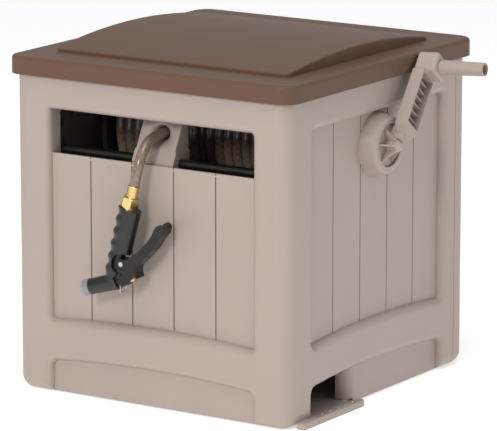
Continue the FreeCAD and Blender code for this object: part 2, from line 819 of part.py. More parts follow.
def make_axle(side):
    """Stub axle on a disc, screwed to the drum's flange; hollow for the bolt, or for the water."""
    disc_inner = drum_half + flange_sheet
    disc_outer = disc_inner + axle_plate
    end = cup_floor - 0.5
    bore = crank_bolt_radius + 0.1 if side > 0 else axle_bore
    axle = rod(axle_radius, along_reel(disc_inner), along_reel(end))
    axle = axle.fuse(rod(axle_plate_radius, along_reel(disc_inner), along_reel(disc_outer)))
    webs = []
    for k in range(axle_screws):
        a = 360.0 * k / axle_screws
        outline = [along_reel(disc_outer - 1, axle_radius - 1, a), along_reel(disc_outer + 14, axle_radius - 1, a),
                   along_reel(disc_outer + 14, axle_radius, a), along_reel(disc_outer, axle_plate_radius - 2, a),
                   along_reel(disc_outer - 1, axle_plate_radius - 2, a)]
        side_way = along_reel(0, 1, a + 90) - along_reel(0)
        webs.append(prism(outline, side_way * flange_rib).translated(side_way * (-flange_rib / 2)))
    axle = axle.fuse(webs)
    holes = [rod(bore, along_reel(disc_inner - 1), along_reel(end + 1))]
    for k in range(axle_screws):
        a = 360.0 * (k + 0.5) / axle_screws
        holes.append(rod(screw_hole, along_reel(disc_inner - 1, axle_screw_circle, a),
                         along_reel(disc_outer + 1, axle_screw_circle, a)))
    if side > 0:
        holes.append(square_bar(crank_spigot + spigot_gap, end - spigot_reach - 1.0, end + 1))
    else:
        holes.append(rod(elbow_radius + 0.1, along_reel(disc_inner - 1), along_reel(disc_inner + axle_plate)))
    axle = axle.cut(holes).removeSplitter()
    return axle if side > 0 else mirrored(axle)


def square_bar(half, x0, x1):
    """Square bar on the reel's axis, turned with the crank."""
    bar = box_between(x0, x1, reel_y - half, reel_y + half, reel_z - half, reel_z + half)
    return turned(bar, -crank_lean, X_AXIS, along_reel(0))


def flange_screw_angles():
    """Screws from each flange into the drum."""
    return [45 + 90 * k for k in range(axle_screws)]


def make_flange(side):
    """Reel flange: a ribbed disc with round windows and a rolled rim."""
    x0, x1 = drum_half, drum_half + flange_sheet
    rim_x = x1 + flange_rib_height
    profile = [(x0, elbow_radius + 1), (x1, elbow_radius + 1), (x1, flange_radius - flange_rim),
               (rim_x, flange_radius - flange_sheet), (rim_x, flange_radius), (x0, flange_radius)]
    disc = revolved_on_reel(profile)
    ribs = []
    for k in range(flange_windows):
        a = 360.0 * (k + 0.5) / flange_windows
        outline = [along_reel(x1 - 1, drum_radius + 4, a), along_reel(x1 + flange_rib_height, drum_radius + 14, a),
                   along_reel(x1 + flange_rib_height, flange_radius - 3, a), along_reel(x1 - 1, flange_radius - 3, a)]
        side_way = along_reel(0, 1, a + 90) - along_reel(0)
        ribs.append(prism(outline, side_way * flange_rib).translated(side_way * (-flange_rib / 2)))
    holes = [rod(window_radius, along_reel(x0 - 1, window_circle, 360.0 * k / flange_windows),
                 along_reel(x1 + 1, window_circle, 360.0 * k / flange_windows)) for k in range(flange_windows)]
    for a in flange_screw_angles():
        holes.append(rod(screw_hole, along_reel(x0 - 1, drum_screw_circle, a),
                         along_reel(x1 + 1, drum_screw_circle, a)))
        holes.append(rod(screw_hole, along_reel(x0 - 1, axle_screw_circle, a),
                         along_reel(x1 + 1, axle_screw_circle, a)))
    disc = disc.cut(holes).fuse(ribs).removeSplitter()
    return disc if side > 0 else mirrored(disc)


def make_drum():
    """Hollow drum with screw pillars inside its ends and a hole for the water way."""
    drum = ring(drum_radius, drum_radius - drum_wall, along_reel(-drum_half), along_reel(drum_half))
    pillars, pilots = [], []
    for a in flange_screw_angles():
        for s in (-1, 1):
            pillars.append(rod(pillar_radius, along_reel(s * drum_half, drum_screw_circle, a),
                               along_reel(s * (drum_half - 20), drum_screw_circle, a)))
            pilots.append(rod(screw_hole, along_reel(s * (drum_half + 1), drum_screw_circle, a),
                              along_reel(s * (drum_half - 12), drum_screw_circle, a)))
    drum = drum.fuse(pillars).cut(pilots)
    way_out = rod(outlet_radius + 0.1, along_reel(elbow_x, drum_radius - 2 * drum_wall), along_reel(elbow_x, drum_radius + 5))
    return drum.cut(way_out).removeSplitter()


def make_reel_screws():
    """Screws of the flanges and of both axle discs."""
    screws = []
    x1 = drum_half + flange_sheet
    for a in flange_screw_angles():
        for s in (-1, 1):
            screws.append(screw(along_reel(s * x1, drum_screw_circle, a), V(-s, 0, 0)))
            screws.append(screw(along_reel(s * (x1 + axle_plate), axle_screw_circle, a), V(-s, 0, 0)))
    return Part.makeCompound(screws)


def make_water_elbow():
    """Pipe inside the drum from the hollow axle to the drum's wall."""
    start = along_reel(-drum_half - flange_sheet - axle_plate + 1)
    corner_x = elbow_x
    bend = 2.0 * elbow_radius
    a = along_reel(corner_x - bend)
    b = along_reel(corner_x, bend)
    centre = along_reel(corner_x - bend, bend)
    middle = centre + (along_reel(corner_x) - centre).normalize() * bend
    path = Part.Wire([line(start, a), arc(a, middle, b), line(b, along_reel(corner_x, drum_radius - drum_wall - 4))])
    outer = tube_on(path, elbow_radius)
    cup = rod(outlet_radius + 0.1, along_reel(corner_x, bend + 10), along_reel(corner_x, drum_radius))
    bore = rod(elbow_bore, start - V(1, 0, 0), along_reel(corner_x - bend / 2))
    rise = rod(elbow_bore, along_reel(corner_x, 0), along_reel(corner_x, bend + 11))
    return outer.cut([bore, rise, cup]).removeSplitter()


def make_drum_outlet():
    """Barbed fitting through the drum's wall that the wound hose is pushed on."""
    profile = [(elbow_bore - 3, 34), (outlet_radius, 34), (outlet_radius, drum_radius + 1), (barb_radius, drum_radius + 3),
               (barb_radius - 1, drum_radius + 9), (barb_radius, drum_radius + 9), (barb_radius - 1.2, drum_radius + 15),
               (elbow_bore - 3, drum_radius + 15)]
    points = [along_reel(elbow_x + r, h) for r, h in profile]
    face = Part.Face(Part.makePolygon(points + [points[0]]))
    return face.revolve(along_reel(elbow_x), Z_AXIS, 360)


def helix_point(angle):
    """Point of the outer layer at an angle before the hose leaves the reel, and its heading."""
    x = guide_x - wind_pitch * (lead_from - angle) / 360
    point = along_reel(x, wind_radius, angle)
    a = math.radians(angle)
    rise = wind_pitch / (2 * math.pi)
    heading = V(rise, -wind_radius * math.cos(a), -wind_radius * math.sin(a)).normalize()
    return point, heading


def arc_from_corner(a, corner, b):
    """Arc between two points that is tangent to the lines from both to the corner."""
    share = (b - a).Length / 2 / (corner - a).Length
    middle = (a + corner * (2 * share) + b) * (1 / (2 * (1 + share)))
    return arc(a, middle, b)


def biarc(p0, t0, p1, t1):
    """Two tangent arcs between two points with given headings."""
    gap = p1 - p0
    both = t0 + t1
    # equal handles: |gap - d * both| = 2 d
    qa = both.dot(both) - 4
    qb = -2 * gap.dot(both)
    qc = gap.dot(gap)
    d = (-qb - math.sqrt(qb * qb - 4 * qa * qc)) / (2 * qa)
    c0, c1 = p0 + t0 * d, p1 - t1 * d
    joint = (c0 + c1) * 0.5
    return [arc_from_corner(p0, c0, joint), arc_from_corner(joint, c1, p1)]


def winding_wire():
    """Outer layer of the hose, from its first turn to where it leaves the reel."""
    edges = []
    for k in range(2 * wind_turns):
        start = lead_from - 360.0 * wind_turns + 180.0 * k
        p0, t0 = helix_point(start)
        p1, t1 = helix_point(start + 180.0)
        edges += biarc(p0, t0, p1, t1)
    return Part.Wire(edges)


def make_hose_winding():
    """Turns of the hose in the outer layer, one unbroken tube."""
    wire = winding_wire()
    print("winding self gap", round(wind_pitch * math.cos(math.atan(wind_pitch / (2 * math.pi * wind_radius)))
                                    - 2 * hose_radius, 2), "gap to the flange",
          round(drum_half + guide_x - wind_pitch * wind_turns - hose_radius, 2))
    hose = tube_on(wire, hose_radius)
    print("winding length", round(wire.Length), "volume against section times length",
          round(hose.Volume / (math.pi * hose_radius ** 2 * wire.Length), 4))
    return hose


def make_hose_core():
    """Inner layers of the hose as one plain body, with the climb to the outer layer."""
    outer = wind_radius - hose_radius - core_gap
    inner = drum_radius + core_gap
    half = drum_half - core_gap * 2
    core = ring(outer, inner, along_reel(-half), along_reel(half))
    pocket = rod(barb_radius + 1.5, along_reel(elbow_x, drum_radius - 5), along_reel(elbow_x, drum_radius + 18))
    core = core.cut(pocket)
    start, heading = helix_point(lead_from - 360.0 * wind_turns)
    end = start - heading * end_gap
    inward = (along_reel(start.x) - start).normalize()
    centre = end + inward * climb_radius
    half_turn = math.radians(-climb_angle / 2)
    full_turn = math.radians(-climb_angle)
    spot = [centre - inward * (climb_radius * math.cos(t)) + heading * (climb_radius * math.sin(t))
            for t in (half_turn, full_turn)]
    climb = Part.Wire([arc(spot[1], spot[0], end)])
    return core.fuse(tube_on(climb, hose_radius)).removeSplitter()


def crank_frame():
    """Directions of the crank: along its arm, along its grip, and across."""
    lean = math.radians(crank_lean)
    tilt = math.radians(crank_tilt)
    up = V(0, math.sin(lean), math.cos(lean))
    along = V(-math.sin(tilt), 0, 0) + up * math.cos(tilt)
    grip_way = V(math.cos(tilt), 0, 0) + up * math.sin(tilt)
    across = V(0, math.cos(lean), -math.sin(lean))
    return along, grip_way, across


def crank_point(s, out, side=0.0):
    """Point of the crank: along its arm, out from its face, and across."""
    along, grip_way, across = crank_frame()
    return V(crank_out, reel_y, reel_z) + along * s + grip_way * out + across * side


def crank_bar(s0, s1, half0, half1, back, front):
    """Tapering bar along the arm between two levels of its depth."""
    points = [crank_point(s0, front, -half0), crank_point(s1, front, -half1),
              crank_point(s1, front, half1), crank_point(s0, front, half0)]
    along, grip_way, across = crank_frame()
    return prism(points, grip_way * (back - front))


def make_crank_arm():
    """Crank: a ribbed hub with its square spigot, a hollow arm and the block that carries the grip."""
    along, grip_way, across = crank_frame()
    hub_x = cup_floor + hub_gap
    hub_outer = hub_x + hub_disc
    nose_end = crank_out - 9.0
    hub = revolved_on_reel([(hub_x, 0), (hub_x, hub_radius), (hub_outer, hub_radius), (hub_outer, nose_radius),
                            (nose_end - 6, nose_radius), (nose_end, nose_radius - 6), (nose_end, 0)])
    gussets = []
    for k in range(gusset_count):
        a = -crank_lean + 360.0 * (k + 1) / (gusset_count + 1)
        outline = [along_reel(hub_outer - 1, nose_radius - 2, a), along_reel(nose_end - 4, nose_radius - 2, a),
                   along_reel(hub_outer, hub_radius - 1, a), along_reel(hub_outer - 1, hub_radius - 1, a)]
        side_way = along_reel(0, 1, a + 90) - along_reel(0)
        gussets.append(prism(outline, side_way * gusset_thick).translated(side_way * (-gusset_thick / 2)))
    neck_half = arm_width / 2
    top = crank_radius + block_half
    arm = crank_bar(arm_start + 22, top - 2 * block_half + 2, neck_half, neck_half, -arm_depth, 0)
    foot_points = [crank_point(arm_start, 0, 0), crank_point(arm_start + 22.1, 0, -neck_half),
                   crank_point(arm_start + 22.1, 0, neck_half)]
    arm = arm.fuse(prism(foot_points, grip_way * (-arm_depth)))
    arm = arm.removeSplitter()
    block = crank_bar(top - 2 * block_half, top, neck_half, neck_half, -arm_depth, block_depth - arm_depth)
    edges = [e for e in block.Edges if (e.Vertexes[0].Point - crank_point(top, 0)).dot(along) > -0.1
             or abs(abs((e.Vertexes[0].Point - crank_point(top, 0)).dot(across)) - neck_half) < 0.1]
    block = block.makeFillet(block_corner, edges)
    channel = crank_bar(arm_start + 30, top - 2 * block_half - arm_wall, neck_half - arm_wall, neck_half - arm_wall,
                        -arm_depth + arm_wall, 1)
    wedge_floor = [along_reel(hub_outer - 1, 2, -crank_lean), along_reel(hub_outer - 1, hub_radius - 2, -crank_lean),
                   crank_point(arm_start + 44, -arm_depth + 1), crank_point(arm_start + 2, -4)]
    wedge = prism(wedge_floor, across * wedge_width).translated(across * (-wedge_width / 2))
    ribs = []
    for k in range(arm_ribs):
        s = arm_start + 44 + k * (top - 2 * block_half - arm_start - 50) / (arm_ribs - 0.4)
        ribs.append(crank_bar(s, s + 2.4, neck_half - 1, neck_half - 1, -arm_depth + 1, -9))
    pocket = crank_bar(top - 2 * block_half + arm_wall, top - arm_wall, neck_half - arm_wall, neck_half - arm_wall,
                       -arm_depth - 1, block_depth - arm_depth - arm_wall)
    seat = rod(grip_pin_radius + 4, crank_point(crank_radius, -arm_depth + 4), crank_point(crank_radius, block_depth - arm_depth - 1))
    pin_hole = rod(grip_pin_radius, crank_point(crank_radius, -arm_depth), crank_point(crank_radius, block_depth - arm_depth + 1))
    crank = hub.fuse(gussets + [arm, wedge]).cut(channel).fuse(ribs + [block.cut(pocket), seat]).cut(pin_hole)
    spigot = square_bar(crank_spigot, hub_x - spigot_reach, hub_x + 1)
    bolt_way = rod(crank_bolt_radius, along_reel(hub_x - spigot_reach - 1), along_reel(hub_x - 6))
    rim_sweep = ring(crank_radius, cup_radius - crank_clearance, along_reel(cup_floor), along_reel(boss_top + crank_clearance))
    return crank.fuse(spigot).cut([bolt_way, rim_sweep]).removeSplitter()


def make_axle_bolt():
    """Bolt through the axle that keeps the crank on."""
    start = along_reel(drum_half + flange_sheet)
    head = Part.makeCylinder(crank_bolt_head, 4.0, start - X_AXIS * 4, X_AXIS)
    return head.fuse(rod(crank_bolt_radius, start, along_reel(cup_floor + hub_gap - 7))).removeSplitter()


def make_crank_grip():
    """Handgrip: a slightly tapering tube, open at its free end."""
    along, grip_way, across = crank_frame()
    root = crank_point(crank_radius, block_depth - arm_depth + grip_gap)
    end = root + grip_way * grip_length
    body = Part.makeCone(grip_root_radius, grip_end_radius, grip_length, root, grip_way)
    rim = [e for e in body.Edges if abs((e.Vertexes[0].Point - end).dot(grip_way)) < 0.01 and len(e.Vertexes) == 1]
    body = body.makeFillet(1.2, rim)
    hollow = rod(grip_cavity_radius, end - grip_way * grip_cavity, end + grip_way)
    return body.cut([hollow, rod(grip_bore, root - grip_way, end)]).removeSplitter()


def make_grip_pin():
    """Pin pressed in the block; its head keeps the grip on."""
    along, grip_way, across = crank_frame()
    foot = crank_point(crank_radius, -arm_depth + 6)
    root = crank_point(crank_radius, block_depth - arm_depth + grip_gap)
    shoulder = root + grip_way * (grip_length - grip_cavity + grip_gap)
    pin = rod(grip_pin_radius, foot, shoulder)
    return pin.fuse(rod(grip_washer_radius, shoulder, shoulder + grip_way * grip_washer)).removeSplitter()


def make_inlet_plate():
    """Plate over the boss's cup, with the tube that reaches into the hollow axle."""
    x = -cup_floor
    plate = rod(inlet_plate_radius, along_reel(x), along_reel(x - inlet_plate))
    rim = [e for e in plate.Edges if abs(e.Vertexes[0].X - x + inlet_plate) < 0.01 and len(e.Vertexes) == 1]
    plate = plate.makeFillet(1.2, rim)
    tube = rod(inlet_tube_radius, along_reel(x - inlet_plate / 2), along_reel(x + inlet_tube_reach))
    holes = [rod(inlet_bore, along_reel(x - inlet_plate - 1), along_reel(x + inlet_tube_reach + 1))]
    for place in o_ring_places:
        holes.append(ring(inlet_tube_radius + 1, o_ring_centre() - o_ring_wire, along_reel(x + place - 1.3),
                          along_reel(x + place + 1.3)))
    for a in inlet_screw_angles():
        holes.append(rod(screw_hole, along_reel(x + 1, inlet_screw_circle, a),
                         along_reel(x - inlet_plate - 1, inlet_screw_circle, a)))
    return plate.fuse(tube).cut(holes).removeSplitter()


def o_ring_centre():
    """Radius of the seals' centre line: they just touch the hollow axle."""
    return axle_bore - o_ring_wire - 0.01


def make_inlet_o_rings():
    """Square-section seals on the inlet tube."""
    return Part.makeCompound([ring(o_ring_centre() + o_ring_wire, o_ring_centre() - o_ring_wire,
                                   along_reel(-cup_floor + place - o_ring_wire),
                                   along_reel(-cup_floor + place + o_ring_wire)) for place in o_ring_places])


def make_inlet_screws():
    """Screws of the inlet plate."""
    x = -cup_floor - inlet_plate
    return Part.makeCompound([screw(along_reel(x, inlet_screw_circle, a), X_AXIS) for a in inlet_screw_angles()])


def make_inlet_nipple():
    """Brass connector for the supply hose, with a spanner's hexagon."""
    x = -cup_floor - inlet_plate
    corner = nipple_hex / math.sqrt(3)
    points = [along_reel(x, corner, 60 * k) for k in range(6)]
    hexagon = prism(points, V(-nipple_hex_thick, 0, 0))
    face = x - nipple_hex_thick
    body = rod(nipple_radius, along_reel(face + 1), along_reel(face - nipple_length))
    rim = [e for e in body.Edges if abs(e.Vertexes[0].X - face + nipple_length) < 0.01 and len(e.Vertexes) == 1]
    body = body.makeFillet(1.0, rim)
    bore = rod(inlet_bore, along_reel(x + 1), along_reel(face - nipple_length - 1))
    cup = rod(nipple_radius - 3, along_reel(face - nipple_length + 10), along_reel(face - nipple_length - 1))
    return hexagon.fuse(body).cut([bore, cup]).removeSplitter()


def guide_face_y(z):
    """Front of the guide block at a level."""
    lean = math.tan(math.radians(guide_slope))
    return guide_front_low + max(0.0, z - guide_slope_from) * lean


def guide_ring(centre, half_across, half_up, lean):
    """Oval ring across the hose's way through the guide."""
    ring_here = Part.Ellipse(ORIGIN, max(half_across, half_up + 0.01), half_up).toShape()
    ring_here.rotate(ORIGIN, X_AXIS, 90 - lean)
    ring_here.translate(centre)
    return Part.Wire(ring_here)


def bellmouth(grow, rings):
    """Hose's way from the slanted face through the narrowing mouth and the throat, drawn out by a growth."""
    slope = math.radians(guide_slope)
    face = V(guide_x, guide_face_y(mouth_z), mouth_z)
    outward = V(0, -math.cos(slope), math.sin(slope))
    throat = V(guide_x, throat_mid, mouth_z + throat_rise)
    fall = math.tan(math.radians(throat_fall))
    back = V(guide_x, throat_back, throat.z + (throat_back - throat_mid) * fall)
    sections = []
    if not grow:
        sections.append(guide_ring(face + outward * guide_wall, mouth_half_width, mouth_half_height, guide_slope))
    for share in rings:
        narrowing = 1 - math.sqrt(1 - (1 - share) ** 2)
        across = throat_radius + (mouth_half_width - throat_radius) * narrowing + grow
        up = throat_radius + (mouth_half_height - throat_radius) * narrowing + grow
        sections.append(guide_ring(face + (throat - face) * share, across, up, guide_slope * (1 - share)))
    end = back if grow else back + (back - throat) * 0.1
    sections.append(guide_ring(end, throat_radius + grow, throat_radius + grow, 0))
    return Part.makeLoft(sections, True, True)


def make_guide_block():
    """Hose guide: a hollow block that slides on two rods, with a bellmouth in its slanted face."""
    half, foot = guide_width / 2, guide_foot_width / 2
    body = prism([V(guide_x - half, guide_face_y(guide_foot_top - 1), guide_foot_top - 1),
                  V(guide_x - half, guide_face_y(guide_top), guide_top), V(guide_x - half, rail_carrier_back, guide_top),
                  V(guide_x - half, rail_carrier_back, rail_z - rail_radius - 6), V(guide_x - half, guide_back, rail_z - 26),
                  V(guide_x - half, guide_back, guide_foot_top - 1)], V(guide_width, 0, 0))
    foot_points = [V(guide_x - foot, guide_front_low, guide_bottom), V(guide_x - foot, guide_front_low, guide_slope_from),
                   V(guide_x - foot, guide_face_y(guide_foot_top), guide_foot_top),
                   V(guide_x - foot, guide_back, guide_foot_top), V(guide_x - foot, guide_back, guide_bottom)]
    body = body.fuse(prism(foot_points, V(guide_foot_width, 0, 0))).removeSplitter()
    rims = [e for e in body.Edges if is_guide_side_edge(e)]
    body = body.makeFillet(2.0, rims)
    w = guide_wall
    slope_wall = w / math.cos(math.radians(guide_slope))
    low = guide_bottom - 1
    room = [V(0, guide_front_low + w, low), V(0, guide_front_low + w, guide_slope_from),
            V(0, guide_face_y(guide_top - w) + slope_wall, guide_top - w), V(0, rail_carrier_back - w, guide_top - w),
            V(0, rail_carrier_back - w, rail_z - rail_radius - 12), V(0, guide_back + 1, rail_z - 32),
            V(0, guide_back + 1, low)]
    cells = []
    divider = throat_radius + 2 * w
    for x0, x1 in ((-half + w, -divider - w / 2), (-divider + w / 2, divider - w / 2), (divider + w / 2, half - w)):
        cells.append(prism([p + V(guide_x + x0, 0, 0) for p in room], V(x1 - x0, 0, 0)))
    body = body.cut(cells)
    sleeves = [rod(rod_radius + w, V(guide_x - foot, rod_y, rod_z), V(guide_x + foot, rod_y, rod_z)),
               rod(rail_sleeve, V(guide_x - half, rail_y, rail_z), V(guide_x + half, rail_y, rail_z))]
    body = body.fuse(sleeves + [bellmouth(w, (0.1, 0.3, 0.6, 1.0))])
    bores = [rod(rod_radius + slide_gap, V(guide_x - width, rod_y, rod_z), V(guide_x + width, rod_y, rod_z)),
             rod(rail_radius + slide_gap, V(guide_x - width, rail_y, rail_z), V(guide_x + width, rail_y, rail_z))]
    return body.cut(bores + [bellmouth(0, (0.0, 0.04, 0.12, 0.25, 0.45, 0.7, 1.0))]).removeSplitter()


def is_guide_side_edge(edge):
    """Edges round the guide block's two side faces, on its front and its top."""
    a, b = edge.Vertexes[0].Point, edge.Vertexes[-1].Point
    side = abs(a.x - b.x) < 0.01 and abs(abs(a.x - guide_x) - guide_foot_width / 2) < 0.01
    upper = abs(a.x - b.x) < 0.01 and abs(abs(a.x - guide_x) - guide_width / 2) < 0.01
    front = all(abs(p.y - guide_face_y(p.z)) < 0.01 for p in (a, b))
    return (side or upper) and front


def make_guide_rod(radius, y, z):
    """Round rod between the brackets' seats."""
    return rod(radius, V(-rod_end_half, y, z), V(rod_end_half, y, z))


def lead_route():
    """Hose from the reel to the guide's throat."""
    start, heading = helix_point(lead_from)
    first = start + heading * end_gap
    return [first, first + heading * lead_run] + [V(x, front_y + y, z) for x, y, z in lead_points]


def make_hose_lead():
    """Free run of the hose from the reel to the guide."""
    return hose_on(lead_route(), "hose lead")


def hang_route():
    """Hose from the guide's throat over its mouth, then straight into the nozzle's ferrule."""
    foot = hex_length / 2 + ferrule_length + end_gap
    way_in = [turned(Part.Vertex(inlet_point(-s)), nozzle_turn).Point + coupling for s in (foot + hang_last_run, foot)]
    return [V(x, front_y + y, z) for x, y, z in hang_points] + way_in


def make_hose_end():
    """Hose through the guide's mouth and down to the nozzle."""
    return hose_on(hang_route(), "hose end")


def on_nozzle(shape):
    """Place a shape that was drawn in the nozzle's own frame."""
    copy = turned(shape, nozzle_turn)
    copy.translate(coupling)
    return copy


def inlet_point(s, r=0.0):
    """Point on the inlet's axis below the coupling, and off it towards the lever."""
    lean = math.radians(inlet_lean)
    return V(-math.sin(lean) * s + math.cos(lean) * r, 0, -math.cos(lean) * s - math.sin(lean) * r)


def barrel_point(t, r=0.0):
    """Point on the barrel's axis, and off it upwards."""
    fall = math.radians(barrel_angle)
    return barrel_from + V(-math.cos(fall) * t - math.sin(fall) * r, 0, -math.sin(fall) * t + math.cos(fall) * r)


def across_bar(radius, point, n0, n1):
    """Round bar across the nozzle's plane."""
    return rod(radius, point + V(0, n0, 0), point + V(0, n1, 0))


def turned_on(point_at, profile, start, heading):
    """Solid turned about one of the nozzle's axes from (distance along, radius) points."""
    face = Part.Face(Part.makePolygon([point_at(s, r) for s, r in profile + [profile[0]]]))
    return face.revolve(start, heading, 360)


def inlet_way():
    return inlet_point(1) - inlet_point(0)


def barrel_way():
    return barrel_point(1) - barrel_point(0)


def make_hose_ferrule():
    """Crimped ferrule with ring grooves, where the hose enters the coupling."""
    foot = -hex_length / 2
    top = foot - ferrule_length
    pitch = ferrule_length / (ferrule_rings + 1)
    profile = [(top, 0), (top, ferrule_radius - 0.8), (top + 0.8, ferrule_radius)]
    for k in range(ferrule_rings):
        s = top + pitch * (k + 0.75)
        profile += [(s, ferrule_radius), (s + 0.6, ferrule_radius - ferrule_groove),
                    (s + 1.8, ferrule_radius - ferrule_groove), (s + 2.4, ferrule_radius)]
    profile += [(foot, ferrule_radius), (foot, 0)]
    body = turned_on(inlet_point, profile, inlet_point(0), inlet_way())
    return on_nozzle(body.cut(rod(water_bore, inlet_point(top - 1), inlet_point(foot + 1))))


def make_hose_hex():
    """Hexagonal coupling nut with a collar below it."""
    corner = hex_across / math.sqrt(3)
    points = [V(corner * math.cos(math.radians(60 * k)), corner * math.sin(math.radians(60 * k)), 0) for k in range(6)]
    nut = prism(points, V(0, 0, hex_length)).translated(V(0, 0, -hex_length / 2))
    round_off = Part.makeCone(corner - 1.5, corner + 8, 9.5, V(0, 0, -hex_length / 2)) \
        .fuse(Part.makeCone(corner + 8, corner - 1.5, 9.5, V(0, 0, hex_length / 2 - 9.5)))
    nut = nut.common(round_off.fuse(Part.makeCylinder(corner + 8, 0.4, V(0, 0, -0.2))))
    nut = nut.fuse(Part.makeCylinder(collar_radius, collar_length, V(0, 0, -hex_length / 2 - collar_length)))
    nut = nut.cut(Part.makeCylinder(water_bore, 2 * hex_length, V(0, 0, -hex_length)))
    return on_nozzle(turned(nut, inlet_lean, Y_AXIS)).removeSplitter()


def grip_section(s):
    """Ring of the rubber grip at a distance below the coupling."""
    wave = 0.5 + 0.5 * math.cos(2 * math.pi * (s - finger_first) / finger_pitch)
    front = grip_front + finger_bump * wave
    start = hex_length / 2 + collar_length
    share = (s - start) / (grip_to - start)
    rear = grip_rear_top + (grip_rear_foot - grip_rear_top) * share
    centre = inlet_point(s, (rear - front) / 2)
    half = (rear + front) / 2
    lean = math.radians(inlet_lean)
    ellipse = Part.Ellipse(centre + V(math.cos(lean), 0, -math.sin(lean)) * half, centre + V(0, grip_depth, 0), centre)
    return Part.Wire(ellipse.toShape())


def metal_core():
    """Outer form of the metal under the rubber: inlet, barrel and the lug behind the grip."""
    start = hex_length / 2 + collar_length
    inlet = rod(inlet_core_radius, inlet_point(start), inlet_point(grip_to))
    barrel = rod(core_radius, barrel_point(-core_rear), barrel_point(core_front))
    lug_points = [V(-24, 0, -102), V(-10, 0, -104), V(-6.5, 0, -110), V(-8, 0, -118), V(-15, 0, -128),
                  V(-17, 0, -146), V(-30, 0, -146)]
    lug = prism([p + V(0, -body_half, 0) for p in lug_points], V(0, 2 * body_half, 0))
    return inlet.fuse([barrel, lug])


def make_nozzle_body():
    """Die-cast valve body with its water way, valve seat and pivot holes."""
    start = hex_length / 2 + collar_length
    bores = [rod(water_bore, inlet_point(start - 1), inlet_point(grip_to - 2)),
             rod(water_bore, barrel_point(10), barrel_point(seat_at)),
             rod(seat_bore, barrel_point(10), barrel_point(core_front + 1)),
             rod(stem_radius + pin_gap, barrel_point(-core_rear - 10), barrel_point(12)),
             rod(packing_radius + core_gap, barrel_point(-core_rear), barrel_point(packing_to)),
             across_bar(pin_radius + pin_gap, pivot, -2 * body_half, 2 * body_half),
             across_bar(clip_wire + pin_gap, clip_pivot, -2 * body_half, 2 * body_half)]
    return on_nozzle(metal_core().cut(bores).removeSplitter())


def make_nozzle_sleeve():
    """Rubber over the body: a grip with finger ridges and a barrel cover, cut away behind for the lever."""
    start = hex_length / 2 + collar_length
    sections = [grip_section(start + (grip_to - start) * k / (grip_sections - 1)) for k in range(grip_sections)]
    grip = Part.makeLoft(sections, True, False)
    cover = Part.makeCone(barrel_radius, barrel_tip_radius, barrel_cover_to - barrel_cover_from,
                          barrel_point(barrel_cover_from), barrel_way())
    sleeve = grip.fuse(cover)
    depth_now = 2 * grip_depth
    behind = [V(-20.7, 0, -105), V(45, 0, -80), V(45, 0, -175), V(-14, 0, -175), V(-20.3, 0, -157),
              V(-29, 0, -139), V(-22.5, 0, -131)]
    scoop = prism([p + V(0, -depth_now, 0) for p in behind], V(0, 2 * depth_now, 0))
    beyond = ring(60, barrel_radius, barrel_point(-20), barrel_point(barrel_cover_to))
    under = beyond.common(box_between(-200, 100, -60, 60, -300, -150))
    sleeve = sleeve.cut([scoop, across_bar(pivot_scoop, pivot, -depth_now, depth_now), under, metal_core()])
    solids = sorted(sleeve.Solids, key=lambda s: s.Volume)
    return on_nozzle(solids[-1].removeSplitter())


def make_nozzle_tip():
    """Outlet ring screwed on the barrel's end."""
    profile = [(tip_from, core_radius + 0.05), (tip_from, tip_radius), (tip_to - 1.5, tip_radius),
               (tip_to, tip_radius - 1.5), (tip_to, tip_bore + 2.5), (tip_to - 6, tip_bore), (core_front + 0.3, tip_bore),
               (core_front + 0.3, core_radius + 0.05)]
    return on_nozzle(turned_on(barrel_point, profile, barrel_point(0), barrel_way()))


def make_packing_nut():
    """Gland nut round the stem at the body's back."""
    nut = rod(packing_radius, barrel_point(-core_rear), barrel_point(packing_to))
    hole = rod(stem_radius + pin_gap, barrel_point(-core_rear + 1), barrel_point(packing_to - 1))
    return on_nozzle(nut.cut(hole))


def make_valve_stem():
    """Stem with its valve cone, drawn back by the lever."""
    profile = [(stem_rear, 0), (stem_rear, stem_radius - 0.6), (stem_rear + 0.6, stem_radius),
               (seat_at - valve_length, stem_radius), (seat_at - valve_length, valve_radius),
               (seat_at - valve_length / 2, valve_radius), (seat_at - 0.3, seat_bore - 1.5), (seat_at - 0.3, 0)]
    return on_nozzle(turned_on(barrel_point, profile, barrel_point(0), barrel_way()))


def make_valve_spring():
    """Spring that closes the valve, shut in the barrel: a plain sleeve of its size."""
    start, end = barrel_point(12.3), barrel_point(seat_at - valve_length - 0.3)
    return on_nozzle(ring(spring_radius + spring_wire / 2, spring_radius - spring_wire / 2, start, end))


def make_adjust_nut():
    """Fluted brass nut on the stem's end; it sets how far the valve opens."""
    front = fork_at - fork_pin - 0.3
    nut = rod(nut_radius, barrel_point(front), barrel_point(front - nut_length))
    rim = [e for e in nut.Edges if len(e.Vertexes) == 1]
    nut = nut.makeChamfer(nut_chamfer, rim)
    flute = rod(1.1, barrel_point(front + 1, nut_radius + 0.4), barrel_point(front - nut_length - 1, nut_radius + 0.4))
    flutes = round_pattern(flute, nut_flutes, barrel_point(0), barrel_way())
    hole = rod(stem_radius + pin_gap, barrel_point(front + 1), barrel_point(front - nut_length - 1))
    return on_nozzle(nut.cut(flutes + [hole]).removeSplitter())


